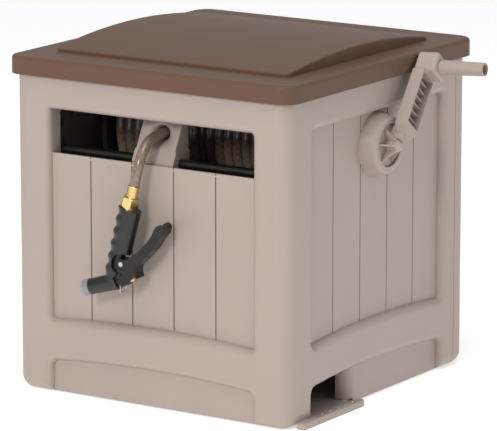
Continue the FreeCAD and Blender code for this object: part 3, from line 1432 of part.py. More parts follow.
def make_nozzle_lever():
    """Squeeze lever: a channel that straddles the body, with a fork round the stem."""
    outline = [V(-13, 0, -105.7), V(-2.3, 0, -103.5), V(9, 0, -95.6), V(20.7, 0, -87), V(40.6, 0, -66.3), V(49.8, 0, -53.8),
               V(54.4, 0, -43), V(60.5, 0, -35.5), V(68.2, 0, -32.2), V(74, 0, -34.5), V(75.9, 0, -41), V(73.5, 0, -50.5), V(63.5, 0, -62.2),
               V(51.2, 0, -80.9), V(32.8, 0, -100), V(17.5, 0, -114.4), V(15.9, 0, -125), V(18.9, 0, -135.5),
               V(11.3, 0, -131.3), V(3.5, 0, -145.5), V(-2.6, 0, -148.8), V(-13.3, 0, -155.4), V(-14.5, 0, -149),
               V(-11.5, 0, -130), V(-17.6, 0, -117)]
    blank = prism([p + V(0, -cheek_outer, 0) for p in outline], V(0, 2 * cheek_outer, 0))
    blank = blank.fuse(across_bar(6.5, pivot, -cheek_outer, cheek_outer))
    web = 3.0
    inner = prism([p + V(-0.62 * web - 0.3, -cheek_inner, 0.8 * web) for p in outline], V(0, 2 * cheek_inner, 0))
    near_body = box_between(-40, 14, -cheek_inner, cheek_inner, -170, -90)
    lever = blank.cut([inner, near_body])
    fork = [across_bar(fork_pin, barrel_point(fork_at), side * fork_half, side * (cheek_inner + 1)) for side in (-1, 1)]
    lever = lever.fuse(fork).cut(across_bar(pin_radius + pin_gap, pivot, -2 * cheek_outer, 2 * cheek_outer))
    return on_nozzle(lever.removeSplitter())


def make_lever_pin():
    """Rivet through the lever's cheeks and the body."""
    pin = across_bar(pin_radius, pivot, -cheek_outer, cheek_outer)
    heads = [across_bar(pin_radius + 1.6, pivot, side * cheek_outer, side * (cheek_outer + 1.2)) for side in (-1, 1)]
    return on_nozzle(pin.fuse(heads).removeSplitter())


def make_hold_clip():
    """Wire loop that hooks over the lever's spur to hold it squeezed."""
    end = clip_pivot + V(0.5, 0, -clip_reach)
    bars = [across_bar(clip_wire, clip_pivot, -clip_half, clip_half), across_bar(clip_wire, end, -clip_half, clip_half)]
    for side in (-1, 1):
        a, b = clip_pivot + V(0, side * clip_half, 0), end + V(0, side * clip_half, 0)
        bars += [rod(clip_wire, a, b), Part.makeSphere(clip_wire, a), Part.makeSphere(clip_wire, b)]
    return on_nozzle(bars[0].fuse(bars[1:]).removeSplitter())


def pieces():
    """Every piece by its name."""
    shell = cabinet_shell()
    return {
        "base_panel": make_floor_plate(),
        "front_panel": make_front_panel(shell),
        "back_panel": make_back_panel(shell),
        "left_side_panel": make_left_panel(shell),
        "right_side_panel": make_right_panel(shell),
        "panel_screws": make_panel_screws(),
        "lid": make_lid(),
        "hinge_pins": make_hinge_pins(),
        "guide_rod": make_guide_rod(rod_radius, rod_y, rod_z),
        "guide_rail": make_guide_rod(rail_radius, rail_y, rail_z),
        "rod_bracket_right": make_rod_bracket(1),
        "rod_bracket_left": make_rod_bracket(-1),
        "bracket_screws": make_bracket_screws(),
        "bearing_right": make_bearing(1),
        "bearing_left": make_bearing(-1),
        "axle_right": make_axle(1),
        "axle_left": make_axle(-1),
        "drum": make_drum(),
        "flange_right": make_flange(1),
        "flange_left": make_flange(-1),
        "reel_screws": make_reel_screws(),
        "water_elbow": make_water_elbow(),
        "drum_outlet": make_drum_outlet(),
        "hose_core": make_hose_core(),
        "hose_winding": make_hose_winding(),
        "crank_arm": make_crank_arm(),
        "axle_bolt": make_axle_bolt(),
        "crank_grip": make_crank_grip(),
        "grip_pin": make_grip_pin(),
        "inlet_plate": make_inlet_plate(),
        "inlet_screws": make_inlet_screws(),
        "inlet_nipple": make_inlet_nipple(),
        "inlet_o_rings": make_inlet_o_rings(),
        "guide_block": make_guide_block(),
        "hose_lead": make_hose_lead(),
        "hose_end": make_hose_end(),
        "hose_ferrule": make_hose_ferrule(),
        "hose_hex": make_hose_hex(),
        "nozzle_body": make_nozzle_body(),
        "nozzle_sleeve": make_nozzle_sleeve(),
        "nozzle_tip": make_nozzle_tip(),
        "packing_nut": make_packing_nut(),
        "valve_stem": make_valve_stem(),
        "valve_spring": make_valve_spring(),
        "adjust_nut": make_adjust_nut(),
        "nozzle_lever": make_nozzle_lever(),
        "lever_pin": make_lever_pin(),
        "hold_clip": make_hold_clip(),
    }


os.makedirs("parts", exist_ok=True)
facets = 0
for name, shape in pieces().items():
    shape.exportStep("parts/" + name + ".step")
    box = shape.BoundBox
    mesh = MeshPart.meshFromShape(Shape=shape, LinearDeflection=max(0.1, box.DiagonalLength * 0.001),
                                  AngularDeflection=0.5)
    count = mesh.CountFacets
    facets += count
    print(name, "solids", len(shape.Solids), "valid", shape.isValid(), "volume", round(shape.Volume / 1000, 2),
          "from", [round(v, 1) for v in (box.XMin, box.YMin, box.ZMin)],
          "to", [round(v, 1) for v in (box.XMax, box.YMax, box.ZMax)], "triangles", count)
print("triangles in all", facets)
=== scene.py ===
# %% [markdown]
# # Hose reel box
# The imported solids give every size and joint. This file gives them their looks: grained resin, brass, rubber,
# a yarn-braced hose, threads, screws and the studio. Lengths are metres, Z is up, the front is -Y.

# %% Load the frame
import json
import math
import bmesh
import bpy
from mathutils import Matrix, Vector

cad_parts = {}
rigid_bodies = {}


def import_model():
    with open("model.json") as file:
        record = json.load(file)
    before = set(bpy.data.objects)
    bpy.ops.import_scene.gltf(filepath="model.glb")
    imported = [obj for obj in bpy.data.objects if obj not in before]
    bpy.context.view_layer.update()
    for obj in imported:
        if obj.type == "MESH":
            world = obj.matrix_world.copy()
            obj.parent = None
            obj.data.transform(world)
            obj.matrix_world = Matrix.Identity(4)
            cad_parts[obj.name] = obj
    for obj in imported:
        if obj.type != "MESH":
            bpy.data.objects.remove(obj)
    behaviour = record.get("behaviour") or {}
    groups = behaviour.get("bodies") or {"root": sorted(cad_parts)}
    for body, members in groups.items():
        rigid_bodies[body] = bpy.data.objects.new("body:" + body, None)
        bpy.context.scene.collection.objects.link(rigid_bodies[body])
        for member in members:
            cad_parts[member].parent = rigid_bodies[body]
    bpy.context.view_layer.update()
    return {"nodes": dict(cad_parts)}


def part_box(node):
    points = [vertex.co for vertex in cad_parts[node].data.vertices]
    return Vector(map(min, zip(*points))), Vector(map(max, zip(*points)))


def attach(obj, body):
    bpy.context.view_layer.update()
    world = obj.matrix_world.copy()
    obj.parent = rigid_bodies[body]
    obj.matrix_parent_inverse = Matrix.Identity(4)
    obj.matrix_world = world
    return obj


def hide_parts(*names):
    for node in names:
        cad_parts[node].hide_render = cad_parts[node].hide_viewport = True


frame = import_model()
nodes = frame["nodes"]

# %% [markdown]
# The few places that pieces of this file share. They are those of the part's source, in metres: the reel's
# axis, the hose and its turns, and the faces of the cabinet with their planks.

# %% Shared sizes
MM = 0.001
reel_centre = Vector((0, 7.0, 465.0)) * MM
hose_radius = 9.5 * MM
wind_radius = 135.0 * MM
wind_pitch = 20.0 * MM
wind_turns = 9
guide_x = -8.0 * MM
lead_from = math.radians(32.1)
lead_run = 80.0 * MM
half_width = 295.0 * MM
half_depth = 309.0 * MM
plank_recess = 14.5 * MM
front_plank = 89.8 * MM
side_plank = 91.8 * MM
front_field_half = 219.0 * MM
side_field_half = 223.5 * MM
groove_width = 2.6 * MM
groove_depth = 1.7 * MM
rear_seam_y = 264.4 * MM
print("outer layer", wind_turns, "turns of", round(math.tau * wind_radius, 3), "m")

# %% [markdown]
# A material is a sum of small patterns. Written with nodes alone it is hard to read, so a value that flows
# through the nodes is wrapped in a class whose operators add the Math nodes: `1 - mask` reads as it works.

# %% Shader values as Python expressions
class Flow:
    """A number on its way through a material."""

    def __init__(self, finish, socket):
        self.finish = finish
        self.socket = socket

    def maths(self, operation, a, b=0.0):
        return self.finish.node("ShaderNodeMath", {"operation": operation}, {0: a, 1: b}, "Value")

    def __add__(self, other):
        return self.maths("ADD", self, other)

    def __radd__(self, other):
        return self.maths("ADD", other, self)

    def __sub__(self, other):
        return self.maths("SUBTRACT", self, other)

    def __rsub__(self, other):
        return self.maths("SUBTRACT", other, self)

    def __mul__(self, other):
        return self.maths("MULTIPLY", self, other)

    def __rmul__(self, other):
        return self.maths("MULTIPLY", other, self)

    def __gt__(self, other):
        return self.maths("GREATER_THAN", self, other)

    def __lt__(self, other):
        return self.maths("LESS_THAN", self, other)

    def part(self):
        return self.maths("FRACT", self)

    def size(self):
        return self.maths("ABSOLUTE", self)

    def clamped(self):
        return self.maths("MAXIMUM", self.maths("MINIMUM", self, 1.0), 0.0)


class Finish:
    """A material under construction."""

    def __init__(self, name):
        self.material = bpy.data.materials.new(name)
        self.material.use_nodes = True
        self.tree = self.material.node_tree
        self.shader = self.tree.nodes["Principled BSDF"]

    def node(self, kind, settings, inputs, output):
        made = self.tree.nodes.new(kind)
        for key, value in settings.items():
            setattr(made, key, value)
        for key, value in inputs.items():
            self.feed(made.inputs[key], value)
        return Flow(self, made.outputs[output])

    def feed(self, socket, value):
        if isinstance(value, Flow):
            self.tree.links.new(value.socket, socket)
        else:
            socket.default_value = value

    def place(self):
        return self.node("ShaderNodeTexCoord", {}, {}, "Object")

    def axis(self, vector, letter):
        return self.node("ShaderNodeSeparateXYZ", {}, {"Vector": vector}, letter)

    def noise(self, scale, detail=2.0):
        inputs = {"Vector": self.place(), "Scale": scale, "Detail": detail}
        return self.node("ShaderNodeTexNoise", {}, inputs, "Fac")

    def colour_mix(self, share, a, b):
        """Blend of two colours: a Mix node has them at sockets 6 and 7, and the blend at output 2."""
        return self.node("ShaderNodeMix", {"data_type": "RGBA"}, {0: share, 6: a, 7: b}, 2)

    def bump(self, height, strength, distance):
        inputs = {"Height": height, "Strength": strength, "Distance": distance}
        self.feed(self.shader.inputs["Normal"], self.node("ShaderNodeBump", {}, inputs, "Normal"))

    def set(self, **values):
        for key, value in values.items():
            self.feed(self.shader.inputs[key.replace("_", " ")], value)


def shade(red, green, blue):
    """Linear colour from the 0 to 255 values of a screen colour."""
    def linear(v):
        v = v / 255
        return v / 12.92 if v <= 0.04045 else ((v + 0.055) / 1.055) ** 2.4
    return (linear(red), linear(green), linear(blue), 1.0)


def dimmed(colour, share):
    """The same colour with less light."""
    return tuple(c * share for c in colour[:3]) + (1.0,)


print("shader helper ready")

# %% [markdown]
# Moulded resin is never one flat colour: the mould is spark-eroded, so the surface has a very fine grain, and
# the pigment varies softly over a palm's width. One function makes every resin part's finish. The cabinet has
# more: its colour is painted darker, as shade and dust, in the V grooves between its planks, and as painted
# shade along the flush joint at its rear corners. Their places follow from the plank pitch, so a mask made of
# a few comparisons finds them on any of the four faces.

# %% Resin
def in_grooves(across, out, reach, plank, field_half):
    """1 in the grooves of one pair of faces, 0 elsewhere."""
    near = ((across * (1 / plank)).part() - 0.5).size() < groove_width / 2 / plank
    face = reach - plank_recess
    spare = 0.25 * MM
    below = out.size() < face - spare
    above = out.size() > face - groove_depth - spare
    return near * below * above * (across.size() < field_half)


def shade_and_dust_lines(finish):
    """Mask of the painted shade and dust: 1 in every plank groove and along the rear seam."""
    place = finish.place()
    x, y = finish.axis(place, "X"), finish.axis(place, "Y")
    front = in_grooves(x, y, half_depth, front_plank, front_field_half)
    side = in_grooves(y, x, half_width, side_plank, side_field_half)
    seam_half = 0.8 * MM
    # The rear joint is flush in the solids, so its shade is painted as a thin dark line.
    seam_shade = ((y - rear_seam_y).size() < seam_half) * (x.size() > half_width - plank_recess)
    return (front + side + seam_shade).clamped()


def resin(name, colour, roughness=0.55, grain=0.25, lines=False, shine=0.35):
    """Moulded resin: soft clouds in the pigment, a fine grain, and painted shade and dust in the grooves where
    asked for.
    """
    finish = Finish(name)
    clouds = finish.noise(scale=6.0, detail=3.0)
    specks = finish.noise(scale=700.0)
    mottle = (clouds * 0.8 + specks * 0.4 - 0.1).clamped()
    base = finish.colour_mix(mottle, dimmed(colour, 0.92), colour)
    if lines:
        # Painted shade and dust: the grooves and the rear seam take the colour at 0.3 of its brightness.
        base = finish.colour_mix(shade_and_dust_lines(finish), base, dimmed(colour, 0.3))
    finish.set(Base_Color=base, Roughness=(specks - 0.5) * 0.12 + roughness)
    finish.shader.inputs["Specular IOR Level"].default_value = shine
    finish.bump(specks, strength=grain, distance=0.2 * MM)
    return finish.material


light_tone = shade(166, 152, 143)
light_resin = resin("light resin", light_tone, 0.42)
# The cabinet's finish carries the painted shade in its grooves and along its rear seam.
cabinet_resin = resin("cabinet resin", light_tone, 0.42, lines=True)
lid_resin = resin("lid resin", shade(100, 76, 62), 0.42, shine=0.15)
dark_resin = resin("dark resin", shade(58, 47, 42), 0.6)
reel_resin = resin("reel resin", shade(40, 33, 30), 0.5)
bearing_resin = resin("bearing resin", shade(38, 38, 40), 0.35, 0.1)
resins = (light_resin, cabinet_resin, lid_resin, dark_resin, reel_resin, bearing_resin)
print("resins:", [made.name for made in resins])

# %% [markdown]
# Turned brass and plated screws are bare metal, smooth but dulled a little where they are worn. The nozzle's
# casting is painted and its grip is rubber, and both show a fine sand texture. So two functions are enough,
# one for bare metal and one for coatings, and the colours and the gloss make the difference.

# %% Metals, paint and rubber
fine_sand = 900.0


def metal(name, colour, roughness, scratch=0.1):
    """Bare metal, worn a little unevenly."""
    finish = Finish(name)
    wear = finish.noise(scale=120.0, detail=4.0)
    base = finish.colour_mix(wear, dimmed(colour, 0.8), colour)
    finish.set(Base_Color=base, Roughness=wear * scratch + roughness)
    finish.shader.inputs["Metallic"].default_value = 1.0
    finish.bump(finish.noise(scale=fine_sand), strength=0.08, distance=0.1 * MM)
    return finish.material


def coating(name, colour, roughness, grain, shine=0.5):
    """Paint or rubber with a fine sand texture."""
    finish = Finish(name)
    specks = finish.noise(scale=fine_sand)
    base = finish.colour_mix(specks, dimmed(colour, 0.75), colour)
    finish.set(Base_Color=base, Roughness=(specks - 0.5) * 0.15 + roughness)
    finish.shader.inputs["Specular IOR Level"].default_value = shine
    finish.bump(specks, strength=grain, distance=0.2 * MM)
    return finish.material


brass = metal("turned brass", shade(226, 198, 138), 0.16)
plated = metal("plated steel", shade(190, 190, 192), 0.22)
cast_paint = coating("painted casting", shade(24, 21, 19), 0.27, 0.12, shine=0.35)
rod_paint = coating("black rod paint", shade(26, 26, 24), 0.3, 0.1)
grip_rubber = coating("grip rubber", shade(30, 31, 29), 0.32, 0.2, shine=0.45)
ring_rubber = coating("outlet ring", shade(140, 140, 141), 0.5, 0.2)
seal_rubber = coating("seal rubber", shade(28, 28, 28), 0.5, 0.1)
print("metals and rubbers:", [m.name for m in (brass, plated, cast_paint, rod_paint, grip_rubber)])

# %% [markdown]
# The hose wall is smoky and half clear, with pale yarn braided inside it. The braid is two families of
# slanting lines that cross. They follow the hose, so they read the tube's own UV map: U runs along it in
# metres, V once around it.

# %% Hose
def braided_hose(name, wall_dark, wall_light, yarn_tone, yarn_share):
    """Smoky hose wall with two crossing families of yarns."""
    yarns_a_metre, yarns_around, yarn_edge = 90.0, 4.0, 0.43
    finish = Finish(name)
    uv = finish.node("ShaderNodeUVMap", {"uv_map": "UVMap"}, {}, "UV")
    along = finish.axis(uv, "X")
    around = finish.axis(uv, "Y")
    right_hand = ((along * yarns_a_metre + around * yarns_around).part() - 0.5).size()
    left_hand = ((along * yarns_a_metre - around * yarns_around).part() - 0.5).size()
    yarn = ((right_hand > yarn_edge) + (left_hand > yarn_edge)).clamped()
    wall = finish.colour_mix(finish.noise(scale=60.0), wall_dark, wall_light)
    base = finish.colour_mix(yarn * yarn_share, wall, yarn_tone)
    finish.set(Base_Color=base, Roughness=0.2 + yarn * 0.05)
    finish.shader.inputs["Coat Weight"].default_value = 0.5
    finish.shader.inputs["Coat Roughness"].default_value = 0.12
    finish.bump(yarn, strength=0.1, distance=0.3 * MM)
    return finish.material


hose_wall = braided_hose("braided hose", shade(98, 80, 69), shade(134, 114, 101), shade(176, 164, 152), 0.16)
print("hose finish:", hose_wall.name)

# %% [markdown]
# Pieces that the solids already show well keep their shape and only take a finish. A table says which.

# %% Finishes of the carried-over pieces
finishes = {
    cabinet_resin: ["front_panel", "back_panel", "left_side_panel", "right_side_panel"],
    light_resin: ["base_panel", "crank_arm", "crank_grip", "guide_block", "inlet_plate"],
    lid_resin: ["lid"],
    dark_resin: ["rod_bracket_left", "rod_bracket_right"],
    reel_resin: ["drum", "flange_left", "flange_right"],
    bearing_resin: ["bearing_left", "bearing_right", "axle_left", "axle_right", "water_elbow"],
    rod_paint: ["guide_rod", "guide_rail"],
    brass: ["hose_ferrule", "hose_hex", "adjust_nut", "drum_outlet"],
    plated: ["hinge_pins", "axle_bolt", "grip_pin", "packing_nut", "valve_stem", "valve_spring", "lever_pin",
             "hold_clip"],
    seal_rubber: ["inlet_o_rings"],
    grip_rubber: ["nozzle_sleeve"],
    ring_rubber: ["nozzle_tip"],
    cast_paint: ["nozzle_body", "nozzle_lever"],
}


def dress(piece, material):
    """Give a mesh one material on all its faces."""
    piece.data.materials.clear()
    piece.data.materials.append(material)


for material, names in finishes.items():
    for name in names:
        dress(nodes[name], material)
print("finished nodes:", sum(len(names) for names in finishes.values()))

# %% [markdown]
# What repeats or follows a path is made by Geometry Nodes. A small class keeps each tree short to write: it
# opens the tree with its named inputs, adds a node with its settings and links, and ends it in Realize
# Instances and Set Material. Its last method turns what the tree makes into a plain mesh.

# %% Geometry Nodes as short recipes
def shown(name, data):
    """Object of some data, linked to the scene."""
    made = bpy.data.objects.new(name, data)
    bpy.context.scene.collection.objects.link(made)
    return made


def plain_mesh(source, name):
    """Mesh object of what a modifier or curve makes, at the origin; the source is removed."""
    bpy.context.view_layer.update()
    graph = bpy.context.evaluated_depsgraph_get()
    mesh = bpy.data.meshes.new_from_object(source.evaluated_get(graph))
    bpy.data.objects.remove(source)
    return shown(name, mesh)


class Recipe:
    """A Geometry Nodes tree under construction."""

    def __init__(self, name, inputs):
        self.tree = bpy.data.node_groups.new(name, "GeometryNodeTree")
        face = self.tree.interface
        face.new_socket("Geometry", in_out="INPUT", socket_type="NodeSocketGeometry")
        self.ids = {}
        for label, kind in inputs.items():
            self.ids[label] = face.new_socket(label, in_out="INPUT", socket_type=kind).identifier
        face.new_socket("Geometry", in_out="OUTPUT", socket_type="NodeSocketGeometry")
        self.entry = self.tree.nodes.new("NodeGroupInput")
        self.exit = self.tree.nodes.new("NodeGroupOutput")

    def given(self, label):
        return self.entry.outputs[label]

    def feed(self, socket, value):
        if isinstance(value, bpy.types.NodeSocket):
            self.tree.links.new(value, socket)
        else:
            socket.default_value = value

    def node(self, kind, settings, inputs, output):
        made = self.tree.nodes.new(kind)
        for key, value in settings.items():
            setattr(made, key, value)
        for key, value in inputs.items():
            self.feed(made.inputs[key], value)
        return made.outputs[output]

    def kept(self, geometry, label, value):
        """Geometry that remembers a value of its points, and the value."""
        made = self.tree.nodes.new("GeometryNodeCaptureAttribute")
        made.domain = "POINT"
        made.capture_items.new("FLOAT", label)
        self.feed(made.inputs["Geometry"], geometry)
        self.feed(made.inputs[label], value)
        return made.outputs["Geometry"], made.outputs[label]

    def close(self, geometry, material):
        whole = self.node("GeometryNodeRealizeInstances", {}, {"Geometry": geometry}, "Geometry")
        done = self.node("GeometryNodeSetMaterial", {}, {"Geometry": whole, "Material": material}, "Geometry")
        self.feed(self.exit.inputs["Geometry"], done)

    def applied(self, carrier, name, values):
        """Plain mesh of what the tree makes of an object."""
        step = carrier.modifiers.new("recipe", "NODES")
        step.node_group = self.tree
        for label, value in values.items():
            step[self.ids[label]] = value
        return plain_mesh(carrier, name)


print("recipe helper ready")

# %% [markdown]
# A hose is a round section carried along a path. The tree takes the radius, sweeps a ring along the curve,
# writes the UV map from the places along and around that it kept, and welds the ring's seam. The same tree
# serves the free hose and both layers on the drum.

# %% Tree that sweeps a hose along a curve
def hose_recipe(material, weld=0.01 * MM):
    """Tree that makes a round hose of a curve."""
    hose = Recipe("hose along a path", {"Hose radius": "NodeSocketFloat", "Sides": "NodeSocketInt"})
    length = hose.node("GeometryNodeSplineParameter", {}, {}, "Length")
    path, along = hose.kept(hose.given("Geometry"), "along", length)
    ring_size = {"Resolution": hose.given("Sides"), "Radius": hose.given("Hose radius"),
                 "Sweep Angle": math.tau}
    ring = hose.node("GeometryNodeCurveArc", {}, ring_size, "Curve")
    turn = hose.node("GeometryNodeSplineParameter", {}, {}, "Factor")
    section, around = hose.kept(ring, "around", turn)
    swept = {"Curve": path, "Profile Curve": section, "Fill Caps": False}
    tube = hose.node("GeometryNodeCurveToMesh", {}, swept, "Mesh")
    pair = hose.node("ShaderNodeCombineXYZ", {}, {"X": along, "Y": around}, "Vector")
    corner_map = {"data_type": "FLOAT2", "domain": "CORNER"}
    tube = hose.node("GeometryNodeStoreNamedAttribute", corner_map,
                     {"Geometry": tube, "Name": "UVMap", "Value": pair}, "Geometry")
    tube = hose.node("GeometryNodeMergeByDistance", {}, {"Geometry": tube, "Distance": weld}, "Geometry")
    tube = hose.node("GeometryNodeSetShadeSmooth", {}, {"Geometry": tube}, "Geometry")
    hose.close(tube, material)
    return hose


hose_sweep = hose_recipe(hose_wall)
print("hose tree has", len(hose_sweep.tree.nodes), "nodes")

# %% [markdown]
# The path itself is a NURBS curve of order 3, which bends as a real hose does: it rounds each control point
# and never kinks. The curve alone, turned into a mesh, gives the points that it really goes through.

# %% Smooth paths
def path_object(name, points, steps):
    """Smooth curve with the given control points."""
    curve = bpy.data.curves.new(name + " path", "CURVE")
    curve.dimensions = "3D"
    curve.resolution_u = steps
    spline = curve.splines.new("NURBS")
    spline.points.add(len(points) - 1)
    for spot, point in zip(spline.points, points):
        spot.co = (*point, 1.0)
    spline.order_u = 3
    spline.use_endpoint_u = True
    return shown(name + " path", curve)


def line_of(name, points, steps=12):
    """The points that the smooth curve itself goes through."""
    line = plain_mesh(path_object(name, points, steps), name + " line")
    places = [v.co.copy() for v in line.data.vertices]
    bpy.data.objects.remove(line)
    return places


def hose_along(name, points, sides=25, steps=12):
    """Hose piece along a list of control points."""
    values = {"Hose radius": hose_radius, "Sides": sides}
    return hose_sweep.applied(path_object(name, points, steps), name, values)


print("path helpers ready")

# %% [markdown]
# The turns on the drum are worked out, not drawn. A point has an angle from the reel's top towards the front,
# a radius, and a place along the axis that moves on by a little more than the hose's width each turn. Under
# the outer layer lies a full layer that runs the other way, and the hose climbs from it at the left flange.

# %% Hose on the drum
outer_start = lead_from - math.tau * wind_turns
left_turn_x = guide_x - wind_pitch * wind_turns


def on_reel(x, radius, angle):
    """Place at a radius and an angle round the reel's axis."""
    return reel_centre + Vector((x, -radius * math.sin(angle), radius * math.cos(angle)))


def outer_layer(steps=32):
    """Turns that end where the free hose leaves the drum."""
    count = steps * wind_turns
    angles = [outer_start + math.tau * wind_turns * k / count for k in range(count + 1)]
    return [on_reel(guide_x - wind_pitch * (lead_from - angle) / math.tau, wind_radius, angle)
            for angle in angles]


def inner_layer(steps=32, turns=19, pitch=19.6 * MM, radius=115.4 * MM, climb=math.radians(110)):
    """Turns under the outer layer, and the climb up to it."""
    first = outer_start - climb - math.tau * turns
    count = steps * turns
    points = []
    for k in range(count + 1):
        turned = turns * k / count
        points.append(on_reel(left_turn_x + pitch * (turns - turned), radius, first + math.tau * turned))
    climb_steps = 12
    for k in range(1, climb_steps + 1):
        share = k / climb_steps
        lift = share * share * (3 - 2 * share)
        height = radius + (wind_radius - radius) * lift
        points.append(on_reel(left_turn_x, height, outer_start - climb * (1 - share)))
    return points


outer_turns = hose_along("hose_outer_turns", outer_layer(), sides=17, steps=3)
inner_turns = hose_along("hose_inner_turns", inner_layer(), sides=17, steps=3)
for piece, node in ((outer_turns, "hose_winding"), (inner_turns, "hose_core")):
    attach(piece, "reel")
    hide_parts(node)
print("turns:", len(outer_turns.data.polygons), "and", len(inner_turns.data.polygons), "faces")

# %% [markdown]
# The free run leaves the drum on the tangent, sags a little and goes through the guide. Beyond the guide the
# same hose hangs over the bellmouth's lip and turns down into the nozzle's ferrule. One smooth spline takes
# the points of the solids' route as its control points, so that it bends as a hose does.

# %% Free hose
leave = on_reel(guide_x, wind_radius, lead_from)
rise = wind_pitch / math.tau
heading = Vector((rise, -wind_radius * math.cos(lead_from), -wind_radius * math.sin(lead_from))).normalized()
clear_of_drum = 0.3 * MM
route = [leave + heading * clear_of_drum, leave + heading * lead_run]
route_ahead = ((-8.0, -196.0, 500.5), (-8.0, -242.3, 495.8), (-8.0, -289.0, 491.6),
               (-5.5, -317.0, 472.0), (-6.41, -331.43, 443.38), (-13.62, -332.06, 413.24))
route += [Vector(point) * MM for point in route_ahead]
free_line = line_of("hose_free", route)
free_hose = hose_along("hose_free", route)
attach(free_hose, "guide")
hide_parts("hose_lead", "hose_end")

# %% [markdown]
# Screws and threaded ends are turned pieces whose section changes with the angle: a hexagon, a cross recess
# or a thread is only a rule for the radius. One function skins a stack of such rings, so a screw and the
# water connector come from the same few lines.

# %% Skin over a stack of rings
def even(radius):
    """The same radius at every angle."""
    return lambda angle, height: radius


def hexagon(flat):
    """Radius of a hexagon with flats at a distance."""
    return lambda angle, height: flat / math.cos((angle + math.pi / 6) % (math.pi / 3) - math.pi / 6)


def thread(root, crest, pitch):
    """Radius of a single-start thread."""
    def rule(angle, height):
        share = (height / pitch - angle / math.tau) % 1.0
        return root + (crest - root) * (1 - abs(2 * share - 1))
    return rule


def cross(arm, half):
    """Radius of a cross recess."""
    def rule(angle, height):
        turn = abs((angle + math.pi / 4) % (math.pi / 2) - math.pi / 4)
        return min(arm / math.cos(turn), half / max(math.sin(turn), 0.001))
    return rule


def skin(name, levels, sides, ring_closed=False):
    """Mesh over rings of (height, rule); its ends are filled, or the last ring meets the first."""
    points = []
    for height, rule in levels:
        for k in range(sides):
            angle = math.tau * k / sides
            radius = rule(angle, height)
            points.append((radius * math.cos(angle), radius * math.sin(angle), height))
    rings = len(levels)
    strips = rings if ring_closed else rings - 1

    def corner(ring, k):
        return ring % rings * sides + k % sides

    faces = [(corner(i, k), corner(i, k + 1), corner(i + 1, k + 1), corner(i + 1, k))
             for i in range(strips) for k in range(sides)]
    if not ring_closed:
        faces.append(tuple(reversed(range(sides))))
        faces.append(tuple((rings - 1) * sides + k for k in range(sides)))
    mesh = bpy.data.meshes.new(name)
    mesh.from_pydata(points, [], faces)
    work = bmesh.new()
    work.from_mesh(mesh)
    bmesh.ops.recalc_face_normals(work, faces=work.faces)
    work.to_mesh(mesh)
    work.free()
    return mesh


def steps_between(low, high, gap):
    """Even heights from low to high, no further apart than a gap."""
    count = math.ceil((high - low) / gap)
    return [low + (high - low) * k / count for k in range(count + 1)]


head_height = 3.0 * MM


def screw_rings():
    """Rings of a screw whose head sits at height 0, from its tip to the floor of its recess."""
    tip, tip_radius = -9.0 * MM, 1.2 * MM
    root, crest, pitch = 1.9 * MM, 2.4 * MM, 1.2 * MM
    thread_low, thread_high, thread_step = -8.4 * MM, -0.6 * MM, 0.3 * MM
    head_radius, head_edge, recess_floor = 5.0 * MM, 0.9 * MM, 1.4 * MM
    dome = ((2.0 * MM, 4.6 * MM), (2.8 * MM, 3.7 * MM), (head_height, 3.0 * MM))
    shank = thread(root, crest, pitch)
    levels = [(tip, even(tip_radius))]
    levels += [(z, shank) for z in steps_between(thread_low, thread_high, thread_step)]
    levels += [(0, even(crest)), (0, even(head_radius)), (head_edge, even(head_radius))]
    levels += [(height, even(radius)) for height, radius in dome]
    levels += [(head_height, cross(2.6 * MM, 0.7 * MM)), (recess_floor, cross(1.9 * MM, 0.5 * MM))]
    return levels


screw_mesh = skin("cross recess screw", screw_rings(), sides=40)
print("screw:", len(screw_mesh.polygons), "faces")

# %% [markdown]
# Where the screws sit is read from the solids, so that none can stand beside its hole. A node's mesh is loose
# triangles, so a copy is merged and walked over, island by island. A screw is longest along its axis, and its
# head is the wider end.

# %% Places of the screws in a node
def islands(node):
    """Vertex places of each separate solid in a node."""
    work = bmesh.new()
    work.from_mesh(nodes[node].data)
    bmesh.ops.remove_doubles(work, verts=work.verts, dist=0.001 * MM)
    left = set(work.verts)
    found = []
    while left:
        group, front = [], [left.pop()]
        while front:
            vertex = front.pop()
            group.append(vertex.co.copy())
            near = {edge.other_vert(vertex) for edge in vertex.link_edges} & left
            left -= near
            front += near
        found.append(group)
    work.free()
    return found


def seat_and_heading(points):
    """Where a screw's head sits and which way it looks."""
    same_face = 0.01 * MM
    low = Vector([min(p[i] for p in points) for i in range(3)])
    high = Vector([max(p[i] for p in points) for i in range(3)])
    centre = (low + high) / 2
    axis = max(range(3), key=lambda i: high[i] - low[i])
    ends = []
    for sign, edge in ((-1, low[axis]), (1, high[axis])):
        spread = max((p - centre).length for p in points if abs(p[axis] - edge) < same_face)
        ends.append((spread, sign, edge))
    spread, sign, edge = max(ends)
    way = Vector((0, 0, 0))
    way[axis] = sign
    seat = centre.copy()
    seat[axis] = edge - sign * head_height
    return seat, way


screw_nodes = {"panel_screws": "box", "bracket_screws": "box", "inlet_screws": "box", "reel_screws": "reel"}
screw_places = {node: [seat_and_heading(group) for group in islands(node)] for node in screw_nodes}
print("screws:", {node: len(places) for node, places in screw_places.items()})

# %% [markdown]
# The tree puts the screw on every place. A point carries the way its screw looks as a named attribute, and
# the node that aligns a rotation to a vector turns the screw. One mesh comes out for each node, because a
# mesh rides on one body.

